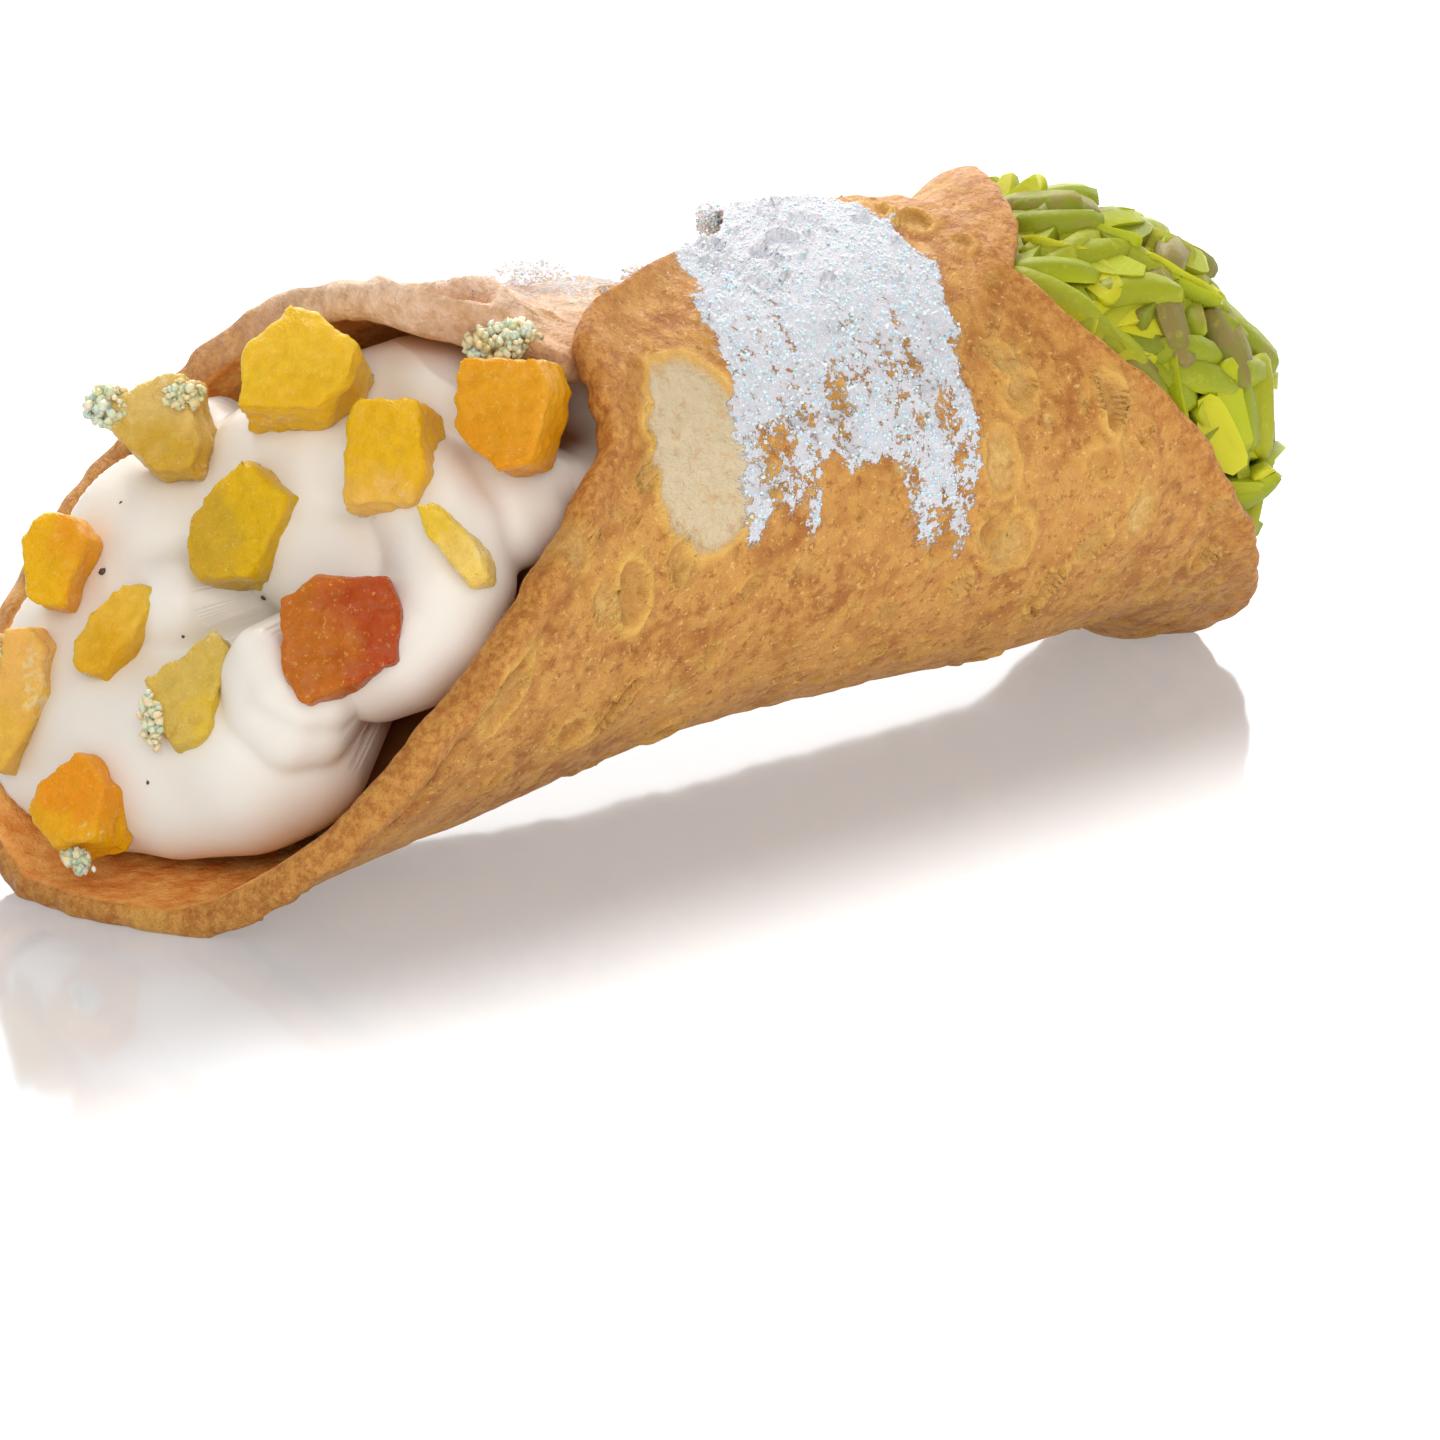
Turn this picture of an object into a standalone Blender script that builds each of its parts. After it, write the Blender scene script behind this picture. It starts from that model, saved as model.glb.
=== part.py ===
"""A cannolo: a fried sheet of dough wrapped into a tube, filled with ricotta cream.

The tube lies along X.  Its left mouth is cut long and slanting and shows piped cream with
candied fruit pressed into it.  Its right mouth ends in a dome of cream under a coat of
pistachio slivers.  Both ends of the dough run out into a tongue at the bottom, and the whole
rests on a flat spot under each tongue.

Angles round the tube are counted from the bottom (0) over the near side (90, towards -Y) to
the top (180).  The dough is one sheet: its far flap starts past the top at FAR_EDGE, runs
down the far side, under the tube, up the near side and ends as the near flap at NEAR_EDGE,
which lies over the far flap.
"""

import bmesh
import bpy
import numpy as np
from mathutils import Matrix, Vector

MM = 0.001

# Dough
WRAP_RADIUS = 19.8 * MM     # from the tube's axis to the middle of the dough
DOUGH = 2.2 * MM            # thickness of the dough
LAYER_GAP = 0.4 * MM        # air between the two flaps where they overlap
AXIS_HEIGHT = 26.0 * MM     # the tube's axis above the tray
FAR_EDGE = -215             # degrees, where the sheet starts
NEAR_EDGE = 215             # degrees, where it ends, on top of the far flap
LIFT_START = 60             # degrees, where the near flap begins to rise off the circle
LIFT_END = 155              # degrees, from where it clears the far flap
RIM_ROUND = 0.8 * MM        # how far the rim's middle stands out past its edges

# How far the sheet reaches from the tube's middle, as (degrees, millimetres)
LEFT_REACH = [(-215, 26.5), (-202, 32), (-180, 38), (-155, 39.5), (-130, 44), (-97, 54),
              (-60, 65), (-20, 69), (30, 59), (73, 45.7), (110, 31.7), (128, 26),
              (150, 24), (160, 15), (172, 6), (188, -3), (205, -8), (215, -10)]
RIGHT_REACH = [(-215, 24), (-190, 31), (-165, 34.5), (-135, 38), (-97, 43), (-60, 52),
               (-20, 57.5), (20, 59.5), (49, 54), (73, 47), (110, 34.5), (131, 25.6),
               (150, 22.3), (180, 22), (200, 20), (215, 16.5)]

# Swellings of the tube: height (mm), where round it and how wide (degrees)
LEFT_FLARE = (5.2, 5, 75)
RIGHT_FLARE = (6.2, -12, 32)
BELLY = (0.9, 35, 30)
DIP = (1.8, 185, 40)
# and where along it they start or lie, and over what length (mm)
LEFT_FLARE_RUN = (5, 55)
RIGHT_FLARE_RUN = (40, 14)
BELLY_RUN = (24, 14)
DIP_RUN = (-3, 8)

# The rims turn outwards near their edges: height and length (mm)
LEFT_TURN = (1.0, 10)
# and curl more on the far side: height (mm), degrees, width (degrees), length (mm)
LEFT_CURL = (0.9, -150, 35, 7)
RIGHT_CURL = (3.8, -165, 32, 6)
FAR_SIDE = -90              # degrees, below which the curls and blisters lie

# Burst blisters of the far flap: x (mm), degrees, size, rise and sink (mm)
BLISTERS = [(-31.5, -170, 6.0, 1.4, 0.5), (19, -152, 4.5, 1.5, 0.3)]
BLISTER_RING = 0.38         # width of the raised ring, as a share of the size
BLISTER_DISH = 0.6          # width of the dish inside it

# Cream
CLEAR = 0.55 * MM           # from the cream to the dough
FOLLOW_END = 108            # degrees, to where the cream follows the rising near flap
FOLLOW_FADE = 32            # degrees, over which it comes back to the far flap
PIECE_GAP = 0.50 * MM       # from the cream to a piece of fruit
CREAM_LEFT = -28 * MM       # between these the cream is a plain filling of the tube
CREAM_RIGHT = 20 * MM
LOBE_BLEND = 1.6 * MM       # width of the soft crease between two lobes
FILL_DEPTH = 7 * MM         # the cream between the lobes lies this deep in the mouth
MOUTH_OUT = np.array([-0.777, -0.259, 0.573])    # the way the left mouth faces
MOUTH_POINT = np.array([-72, 0, 0]) * MM         # a point on the plane of its rim

# Piped lobes of the left mouth: both ends of a strand, on its surface, and its radius (mm)
LOBES = [((-30, -13, 43.5), (-31.5, -20, 38.5), 9),
         ((-36.5, -8, 39), (-42, -19.5, 27), 8.5),
         ((-46.5, -16, 22.5), (-46, -17, 22), 7.5),
         ((-43.5, 2, 36), (-44, -4, 33), 9),
         ((-47, 10.5, 37), (-49, 12, 33), 5),
         ((-50.5, -7, 24), (-53, -11, 19), 7.5),
         ((-60, -4, 12), (-57, -12, 13.5), 9),
         ((-54.5, 13, 29.5), (-59, 12, 22), 9),
         ((-55, 4, 24), (-60, 2, 17), 8),
         ((-64, 9, 15), (-65, 3, 10.5), 8)]

# Right dome: half an ellipsoid on a tube, its upper part leaning back
DOME_CENTRE = np.array([41, 0, 26]) * MM
DOME_LEAN = 0.2
CORE_RADII = np.array([18.5, 16.5, 16.5]) * MM
COAT_RADII = np.array([24, 20.5, 21.5]) * MM
COAT_GAP = 1.2 * MM         # from the dome of cream to the coat
COAT_INSET = 2.5 * MM       # the coat starts this far inside the rim
COAT_BUMP = 1.0 * MM        # height of the coat's lumps
COAT_BUMP_PITCH = 1.6 * MM  # a lump and a hollow together are this times 2 pi
COAT_FREE = 2 * MM          # from this far past the rim the coat swells over it
COAT_SPREAD = 1.2           # how much wider it grows for each millimetre further out
LAP = 145                   # degrees, past which the far flap is the inner one

# Candied fruit: centre (mm), width, height and depth (mm), turn in its own plane (degrees)
FRUIT = [((-43.8, 0, 43.8), (9, 8.5, 7), -10),
         ((-41, -8.8, 37.8), (7.2, 10, 6.5), -8),
         ((-34.3, -15.6, 41.8), (7.8, 9, 7), -4),
         ((-41, -18.5, 32.5), (8.5, 4.2, 4.5), -42),
         ((-49.5, 0, 31), (7.5, 10.5, 7), -30),
         ((-49, -13, 24.5), (9.2, 9.8, 7), 12),
         ((-51.5, 11.5, 37.5), (10, 8, 5.5), -15),
         ((-60.5, 14, 26.5), (6.6, 8, 6), -10),
         ((-58.5, 6.5, 21.5), (6.2, 8, 5.5), -15),
         ((-57.5, -2.5, 18.5), (7.2, 10, 5.5), -8),
         ((-65.6, 11.8, 15.8), (6.2, 13.5, 5), 0),
         ((-66, 2, 9.5), (7, 7.6, 6), -35)]
FRUIT_FACING = Vector((-0.68, -0.50, 0.46))      # most pieces look out of the mouth
FRUIT_SKEW = 0.14           # how far a corner strays, as a share of the size
FRUIT_BEVEL = 0.8 * MM
FRUIT_SHARP = np.radians(35)   # an edge with a greater turn is bevelled
FRUIT_TILT = 0.15           # how far a piece leans away from FRUIT_FACING
LEAN_SEED = 100             # apart from the seeds of the corners, 1 and up

# Mesh steps
DOUGH_STEP = 10             # degrees between two lines along the dough
SHEET_STEPS = 15            # along the dough, from mouth to mouth
CREAM_STEP = 7.5            # degrees between two lines along the cream
MOUTH_RINGS = 17
TUBE_RINGS = 5
DOME_RINGS = 8
COAT_STEP = 10
COAT_RINGS = 9
SEARCH = np.linspace(2, 60, 80) * MM   # distances tried to find the cream's surface
HALVINGS = 16               # and how often the last stretch is halved
SHARP = np.radians(40)      # edges with a greater turn are shaded sharp

# The whole is shifted so that its box stands centred on the origin
SHIFT = np.array([2.2, 0.2, 0.0]) * MM


def smooth(t):
    """Rises from 0 to 1 as t does, level at both ends."""
    t = np.clip(t, 0, 1)
    return t * t * (3 - 2 * t)


def bell(angle, centre, width):
    """1 at the centre angle, falling off on both sides; angles in degrees."""
    away = (angle - centre + 180) % 360 - 180
    return np.exp(-(away / width) ** 2)


def swelling(angle, form):
    """A rise in metres round the tube, from (millimetres, centre, width)."""
    height, centre, width = form
    return height * MM * bell(angle, centre, width)


def onset(x, run):
    """Rises from 0 to 1 along the tube, from (start, length) in millimetres."""
    start, length = run
    return smooth((x / MM - start) / length)


def hump(x, run):
    """1 at one place along the tube, falling off on both sides; (place, length) in mm."""
    place, length = run
    return np.exp(-((x / MM - place) / length) ** 2)


def curve_through(stations):
    """A smooth curve through (angle, millimetres) that doesn't swing past its stations."""
    at, value = np.array(stations, float).T
    value = value * MM
    step = np.diff(at)
    slope = np.diff(value) / step
    tangent = np.zeros_like(at)
    tangent[0], tangent[-1] = slope[0], slope[-1]
    for i in range(1, len(at) - 1):
        if slope[i - 1] * slope[i] > 0:
            tangent[i] = 2 / (1 / slope[i - 1] + 1 / slope[i])

    def curve(angle):
        angle = np.clip(angle, at[0], at[-1])
        i = np.clip(np.searchsorted(at, angle) - 1, 0, len(step) - 1)
        u = (angle - at[i]) / step[i]
        start = (1 + 2 * u) * (1 - u) ** 2 * value[i] + u * (1 - u) ** 2 * step[i] * tangent[i]
        end = u * u * (3 - 2 * u) * value[i + 1] - u * u * (1 - u) * step[i] * tangent[i + 1]
        return start + end
    return curve


left_reach = curve_through(LEFT_REACH)
right_reach = curve_through(RIGHT_REACH)


# ---------------------------------------------------------------- dough

def tube_radius(x, angle):
    """The radius that both flaps share: tongues, a swollen belly and a dip on top."""
    flare_left = swelling(angle, LEFT_FLARE) * onset(-x, LEFT_FLARE_RUN)
    flare_right = swelling(angle, RIGHT_FLARE) * onset(x, RIGHT_FLARE_RUN)
    belly = swelling(angle, BELLY) * hump(x, BELLY_RUN)
    dip = swelling(angle, DIP) * hump(x, DIP_RUN)
    return WRAP_RADIUS + flare_left + flare_right + belly - dip


def flap_lift(angle):
    """How far the near flap stands off the circle to clear the far flap."""
    return (DOUGH + LAYER_GAP) * smooth((angle - LIFT_START) / (LIFT_END - LIFT_START))


def blister(x, angle, centre_x, centre_angle, size, rise, sink):
    """A burst bubble: a raised ring round a shallow dish (sizes in millimetres)."""
    along = x / MM - centre_x
    round_it = np.radians(angle - centre_angle) * WRAP_RADIUS / MM
    away = np.hypot(along, round_it)
    ring = rise * np.exp(-((away - size) / (BLISTER_RING * size)) ** 2)
    return (ring - sink * np.exp(-(away / (BLISTER_DISH * size)) ** 2)) * MM


def curl(angle, from_rim, form):
    """A rise towards a rim, on one side of the tube."""
    *where, length = form
    return swelling(angle, where) * hump(from_rim, (0, length))


def sheet_radius(x, angle):
    """Radius of the middle of the dough."""
    from_left = np.maximum(x + left_reach(angle), 0)
    from_right = np.maximum(right_reach(angle) - x, 0)
    turn_height, turn_length = LEFT_TURN
    radius = tube_radius(x, angle) + flap_lift(angle)
    radius = radius + turn_height * MM * hump(from_left, (0, turn_length))
    far_side = curl(angle, from_left, LEFT_CURL) + curl(angle, from_right, RIGHT_CURL)
    for form in BLISTERS:
        far_side = far_side + blister(x, angle, *form)
    return radius + np.where(angle < FAR_SIDE, far_side, 0)


def around(x, radius, angle):
    """Points at a distance from the tube's axis; angles in degrees."""
    turn = np.radians(angle)
    return np.stack([x, -radius * np.sin(turn), AXIS_HEIGHT - radius * np.cos(turn)], -1)


def sheet_surface(side, spread=0.0):
    """The dough's outer (side 1) or inner (side -1) face, or its middle, spread past the rim."""
    lines = int((NEAR_EDGE - FAR_EDGE) / DOUGH_STEP) + 1
    angle = np.linspace(FAR_EDGE, NEAR_EDGE, lines)
    share = np.linspace(0, 1, SHEET_STEPS + 1)
    share = (share + smooth(share)) / 2
    angle, share = np.meshgrid(angle, share, indexing="ij")
    x = -left_reach(angle) + (left_reach(angle) + right_reach(angle)) * share
    x[:, 0] -= spread
    x[:, -1] += spread
    angle[0] -= np.degrees(spread / WRAP_RADIUS)
    angle[-1] += np.degrees(spread / WRAP_RADIUS)
    points = around(x, sheet_radius(x, angle) + side * DOUGH / 2, angle)
    points[..., 2] = np.maximum(points[..., 2], (1 - side) * DOUGH / 2)
    return points


def grid_faces(rows):
    """Quads between neighbouring rows of vertices."""
    quads = []
    for low, high in zip(rows[:-1], rows[1:]):
        for i in range(len(low) - 1):
            quads.append((low[i], low[i + 1], high[i + 1], high[i]))
    return quads


def border(rows):
    """The vertices round the edge of a grid, in order."""
    right = [row[-1] for row in rows[1:]]
    left = [row[0] for row in rows[-2:0:-1]]
    return rows[0] + right + rows[-1][-2::-1] + left


def make_shell():
    bm = bmesh.new()
    outer, middle, inner = (
        [[bm.verts.new(p) for p in row] for row in sheet_surface(side, spread)]
        for side, spread in ((1, 0), (0, RIM_ROUND), (-1, 0)))
    for quad in grid_faces(outer) + grid_faces(inner):
        bm.faces.new(quad)
    loops = [loop + loop[:1] for loop in (border(outer), border(middle), border(inner))]
    for quad in grid_faces(loops):
        bm.faces.new(quad)
    bmesh.ops.delete(bm, geom=[v for v in bm.verts if not v.link_faces], context="VERTS")
    return finish_object("shell", bm, dough_material())


# ---------------------------------------------------------------- cream

def cream_wall(x, angle):
    """The largest radius that cream may have inside the dough; -180 to 180 degrees."""
    follow = flap_lift(angle) * (1 - smooth((angle - FOLLOW_END) / FOLLOW_FADE))
    return tube_radius(x, angle) + follow - DOUGH / 2 - CLEAR


def outside_wall(points):
    """Distance past the cream's wall, negative inside."""
    y, z = points[..., 1], points[..., 2] - AXIS_HEIGHT
    return np.hypot(y, z) - cream_wall(points[..., 0], np.degrees(np.arctan2(-y, -z)))


def soft_union(a, b):
    mix = np.clip(0.5 + 0.5 * (b - a) / LOBE_BLEND, 0, 1)
    return b * (1 - mix) + a * mix - LOBE_BLEND * mix * (1 - mix)


def strand(points, start, end, radius):
    """Distance from a piped strand whose surface passes through start and end."""
    start = np.array(start) * MM - MOUTH_OUT * radius * MM
    end = np.array(end) * MM - MOUTH_OUT * radius * MM
    along = end - start
    share = np.clip((points - start) @ along / (along @ along), 0, 1)
    return np.linalg.norm(points - start - share[..., None] * along, axis=-1) - radius * MM


def mouth_field(points):
    """Distance from the piped cream of the left mouth, negative inside."""
    field = (points - MOUTH_POINT) @ MOUTH_OUT + FILL_DEPTH
    for start, end, radius in LOBES:
        field = soft_union(field, strand(points, start, end, radius))
    return np.maximum(field, outside_wall(points))


def dome_field(points, radii):
    """Distance from the leaning dome of the right end, a tube up to its middle."""
    local = points - DOME_CENTRE
    local[..., 0] = np.maximum(local[..., 0] + DOME_LEAN * local[..., 2], 0)
    return (np.linalg.norm(local / radii, axis=-1) - 1) * radii[1]


def core_field(points):
    return np.maximum(dome_field(points, CORE_RADII), outside_wall(points))


def lumps(points):
    """An uneven swelling between -1 and 1."""
    x, y, z = np.moveaxis(points / COAT_BUMP_PITCH, -1, 0)
    return np.sin(x + 1.3 * y) * np.sin(1.1 * y - 0.7 * z + 1) * np.sin(1.2 * z + 0.4 * x)


def inner_rim(angle):
    """Where the inner flap's right rim lies along X; -180 to 180 degrees."""
    return right_reach(np.where(angle > LAP, angle - 360, angle))


def coat_field(points):
    """The coat's outside: inside the rim it keeps to the wall, past it it swells out."""
    y, z = points[..., 1], points[..., 2] - AXIS_HEIGHT
    rim = inner_rim(np.degrees(np.arctan2(-y, -z)))
    past_rim = np.maximum(points[..., 0] - rim - COAT_FREE, 0)
    uneven = dome_field(points, COAT_RADII) - COAT_BUMP * lumps(points)
    return np.maximum(uneven, outside_wall(points) - COAT_SPREAD * past_rim)


def reach(centre, ways, field):
    """Distance from the centre to the field's surface along each way, by bisection."""
    low = np.full(ways.shape[:-1], SEARCH[0])
    high = np.full(ways.shape[:-1], SEARCH[-1])
    found = np.zeros(ways.shape[:-1], bool)
    for near, far in zip(SEARCH[:-1], SEARCH[1:]):
        new = (field(centre + ways * far) > 0) & ~found
        low[new], high[new] = near, far
        found |= new
    for _ in range(HALVINGS):
        middle = (low + high) / 2
        inside = field(centre + ways * middle[..., None]) < 0
        low = np.where(inside, middle, low)
        high = np.where(inside, high, middle)
    return low


def ways(polar, angle, towards):
    """Unit vectors: polar is the angle off the X axis, towards is 1 for +X, -1 for -X."""
    polar, angle = np.radians(polar), np.radians(angle)
    return np.stack([towards * np.cos(polar), -np.sin(polar) * np.sin(angle),
                     -np.sin(polar) * np.cos(angle)], -1)


def round_angles(step):
    return np.arange(-180, 180, step) + step / 2


def cap_points(centre_x, rings, towards, field):
    """Rings of points round one end of the cream, the outermost ring last, and its tip."""
    centre = np.array([centre_x, 0, AXIS_HEIGHT])
    polar = np.linspace(0, 90, rings + 1)[1:]
    polar, angle = np.meshgrid(polar, round_angles(CREAM_STEP), indexing="ij")
    out = ways(polar, angle, towards)
    tip = ways(np.zeros(1), np.zeros(1), towards)
    ring_points = centre + out * reach(centre, out, field)[..., None]
    return ring_points, (centre + tip * reach(centre, tip, field)[..., None])[0]


def close_rings(bm, rings, tips):
    """Skin a stack of closed rings and close both ends with a fan round a tip."""
    rows = [[bm.verts.new(p) for p in ring] for ring in rings]
    closed = [row + row[:1] for row in rows]
    for quad in grid_faces(closed):
        bm.faces.new(quad)
    for tip, row in zip(tips, (closed[0], closed[-1])):
        point = bm.verts.new(tip)
        for a, b in zip(row[:-1], row[1:]):
            bm.faces.new((point, a, b))


def make_cream():
    left, left_tip = cap_points(CREAM_LEFT, MOUTH_RINGS, -1, mouth_field)
    right, right_tip = cap_points(CREAM_RIGHT, DOME_RINGS, 1, core_field)
    x = np.linspace(CREAM_LEFT, CREAM_RIGHT, TUBE_RINGS + 2)[1:-1]
    x, angle = np.meshgrid(x, round_angles(CREAM_STEP), indexing="ij")
    tube = around(x, cream_wall(x, angle), angle)
    bm = bmesh.new()
    close_rings(bm, [*left, *tube, *right[::-1]], (left_tip, right_tip))
    return finish_object("cream", bm, cream_material())


def make_coat():
    """A bowl of pistachio over the dome, from just inside the rim to its tip."""
    centre = np.array([CREAM_RIGHT, 0, AXIS_HEIGHT])
    angle = round_angles(COAT_STEP)
    edge_x = inner_rim(angle) - COAT_INSET - CREAM_RIGHT
    edge = np.degrees(np.arctan2(cream_wall(edge_x + CREAM_RIGHT, angle), edge_x))
    share = np.linspace(0, 1, COAT_RINGS + 1)[1:, None]
    out = ways(share * edge, np.broadcast_to(angle, (COAT_RINGS, len(angle))), 1)
    tip = ways(np.zeros(1), np.zeros(1), 1)
    bm = bmesh.new()
    layers = []
    tips = []
    for field, gap in ((core_field, COAT_GAP), (coat_field, 0)):
        layers.append([*(centre + out * (reach(centre, out, field) + gap)[..., None])])
        tips.append((centre + tip * (reach(centre, tip, field) + gap)[..., None])[0])
    close_rings(bm, layers[0] + layers[1][::-1], tips)
    return finish_object("pistachio_coat", bm, pistachio_material())


# ---------------------------------------------------------------- fruit

def fruit_mesh(size, grow, rng):
    """A cut piece: the hull of a box's stray corners, larger on each side by grow."""
    bm = bmesh.new()
    bmesh.ops.create_cube(bm, size=2)
    half = np.array(size) / 2 * MM
    for corner in bm.verts:
        stray = 1 + rng.uniform(-FRUIT_SKEW, FRUIT_SKEW, 3)
        corner.co = Vector(np.array(corner.co) * (half * stray + grow))
    bmesh.ops.delete(bm, geom=bm.faces[:], context="FACES_ONLY")
    bmesh.ops.convex_hull(bm, input=bm.verts[:])
    return bm


def sharp_edges(bm):
    return [edge for edge in bm.edges if edge.calc_face_angle() > FRUIT_SHARP]


def make_fruit(number, centre, size, turn):
    """One candied piece; returns the cutter of its pocket in the cream."""
    name = f"candied_fruit_{number:02d}"
    lean = np.random.default_rng(LEAN_SEED + number).uniform(-FRUIT_TILT, FRUIT_TILT, 3)
    facing = (FRUIT_FACING + Vector(lean)).to_track_quat("Z", "Y")
    place = Matrix.Translation(Vector(np.array(centre) * MM)) @ facing.to_matrix().to_4x4()
    place = place @ Matrix.Rotation(np.radians(turn), 4, "Z")
    solid = fruit_mesh(size, 0, np.random.default_rng(number))
    bmesh.ops.bevel(solid, geom=sharp_edges(solid), offset=FRUIT_BEVEL, segments=1,
                    affect="EDGES")
    solid.transform(place)
    finish_object(name, solid, fruit_material())
    pocket = fruit_mesh(size, PIECE_GAP, np.random.default_rng(number))
    pocket.transform(place)
    cutter = finish_object("cutter_" + name, pocket, None)
    cutter.hide_render = True
    cutter.display_type = "WIRE"
    return cutter


def cut_pocket(cream, cutter):
    cut = cream.modifiers.new("pocket", "BOOLEAN")
    cut.operation = "DIFFERENCE"
    cut.solver = "MANIFOLD"
    cut.object = cutter


# ---------------------------------------------------------------- objects and materials

def material(name, colour, roughness, **more):
    made = bpy.data.materials.new(name)
    made.use_nodes = True
    shader = made.node_tree.nodes["Principled BSDF"]
    shader.inputs["Base Color"].default_value = (*colour, 1)
    shader.inputs["Roughness"].default_value = roughness
    for socket, value in more.items():
        shader.inputs[socket.replace("_", " ")].default_value = value
    return made


def dough_material():
    return material("fried_dough", (0.56, 0.29, 0.09), 0.6)


def cream_material():
    return material("ricotta_cream", (0.86, 0.81, 0.74), 0.4, Subsurface_Weight=0.2)


def pistachio_material():
    return material("pistachio", (0.42, 0.50, 0.05), 0.5)


def fruit_material():
    made = bpy.data.materials.get("candied_fruit")
    return made or material("candied_fruit", (0.86, 0.50, 0.04), 0.25)


def finish_object(name, bm, made):
    """Turn a bmesh into a smooth-shaded object, shifted into the part's frame."""
    bmesh.ops.recalc_face_normals(bm, faces=bm.faces[:])
    bmesh.ops.translate(bm, vec=Vector(SHIFT), verts=bm.verts[:])
    mesh = bpy.data.meshes.new(name)
    bm.to_mesh(mesh)
    bm.free()
    if made:
        mesh.materials.append(made)
    mesh.shade_smooth()
    mesh.set_sharp_from_angle(angle=SHARP)
    part = bpy.data.objects.new(name, mesh)
    bpy.context.scene.collection.objects.link(part)
    return part


def main():
    for old in list(bpy.data.objects):
        bpy.data.objects.remove(old)
    make_shell()
    cream = make_cream()
    make_coat()
    for number, (centre, size, turn) in enumerate(FRUIT, start=1):
        cut_pocket(cream, make_fruit(number, centre, size, turn))


main()
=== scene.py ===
"""The looks of a cannolo: fried dough, piped cream, candied fruit, pistachio and icing sugar.

Angles round the tube are counted from the bottom (0) over the near side (90, towards -Y) to
the top (180).  Names that end in nothing are metres and degrees; lists say when their numbers
are millimetres.  The dough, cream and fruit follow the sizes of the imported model, in finer
detail, and stand for its nodes.
"""

import bmesh
import bpy
import numpy as np
from mathutils import Matrix, Vector


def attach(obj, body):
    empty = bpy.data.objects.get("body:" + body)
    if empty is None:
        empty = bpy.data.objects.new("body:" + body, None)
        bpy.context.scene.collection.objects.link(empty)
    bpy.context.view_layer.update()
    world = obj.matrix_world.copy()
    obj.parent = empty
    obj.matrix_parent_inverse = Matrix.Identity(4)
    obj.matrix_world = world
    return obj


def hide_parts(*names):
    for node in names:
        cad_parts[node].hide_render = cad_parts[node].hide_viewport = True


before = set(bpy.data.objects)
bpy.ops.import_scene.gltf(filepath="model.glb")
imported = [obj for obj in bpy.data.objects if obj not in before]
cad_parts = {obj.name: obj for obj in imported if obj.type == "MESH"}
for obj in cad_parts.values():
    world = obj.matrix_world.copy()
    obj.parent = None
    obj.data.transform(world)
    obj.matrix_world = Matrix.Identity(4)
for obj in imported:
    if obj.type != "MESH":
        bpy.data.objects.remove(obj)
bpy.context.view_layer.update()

MM = 0.001
BODY = "root"

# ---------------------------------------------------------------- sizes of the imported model

WRAP_RADIUS = 19.8 * MM     # from the tube's axis to the middle of the dough
DOUGH = 2.2 * MM            # thickness of the dough
LAYER_GAP = 0.4 * MM        # air between the two flaps where they overlap
AXIS_HEIGHT = 26.0 * MM     # the tube's axis above the table
FAR_EDGE = -215             # degrees, where the sheet starts
NEAR_EDGE = 215             # degrees, where it ends, on top of the far flap
LIFT_START = 60             # degrees, where the near flap begins to rise off the circle
LIFT_END = 155              # degrees, from where it clears the far flap
RIM_ROUND = 0.8 * MM        # how far the rim's middle stands out past its edges

# How far the sheet reaches from the tube's middle, as (degrees, millimetres)
LEFT_REACH = [(-215, 26.5), (-202, 32), (-180, 38), (-155, 39.5), (-130, 44), (-97, 54),
              (-60, 65), (-20, 69), (30, 59), (73, 45.7), (110, 31.7), (128, 26),
              (150, 24), (160, 15), (172, 6), (188, -3), (205, -8), (215, -10)]
RIGHT_REACH = [(-215, 24), (-190, 31), (-165, 34.5), (-135, 38), (-97, 43), (-60, 52),
               (-20, 57.5), (20, 59.5), (49, 54), (73, 47), (110, 34.5), (131, 25.6),
               (150, 22.3), (180, 22), (200, 20), (215, 16.5)]

# Swellings of the tube: height (mm), where round it and how wide (degrees)
LEFT_FLARE = (5.2, 5, 75)
RIGHT_FLARE = (6.2, -12, 32)
BELLY = (0.9, 35, 30)
DIP = (1.8, 185, 40)
# and where along it they start or lie, and over what length (mm)
LEFT_FLARE_RUN = (5, 55)
RIGHT_FLARE_RUN = (40, 14)
BELLY_RUN = (24, 14)
DIP_RUN = (-3, 8)

# The rims turn outwards near their edges: height and length (mm)
LEFT_TURN = (1.0, 10)
# and curl more on the far side: height (mm), degrees, width (degrees), length (mm)
LEFT_CURL = (0.9, -150, 35, 7)
RIGHT_CURL = (3.8, -165, 32, 6)
FAR_SIDE = -90              # degrees, below which the curls and big blisters lie

# Big burst blisters of the far flap: x (mm), degrees, size, rise and sink (mm)
BIG_BLISTERS = [(-31.3, -183, 6.0, 1.0, 0.4), (19, -152, 4.5, 1.5, 0.3)]

FOLLOW_END = 108            # degrees, to where the cream follows the rising near flap
FOLLOW_FADE = 32            # degrees, over which it comes back to the far flap
CREAM_LEFT = -28 * MM       # between these the cream is a plain filling of the tube
CREAM_RIGHT = 20 * MM
FILL_DEPTH = 17 * MM        # the cream between the strands lies this deep in the mouth
MOUTH_OUT = np.array([-0.777, -0.259, 0.573])    # the way the left mouth faces
MOUTH_POINT = np.array([-72, 0, 0]) * MM         # a point on the plane of its rim

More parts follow.
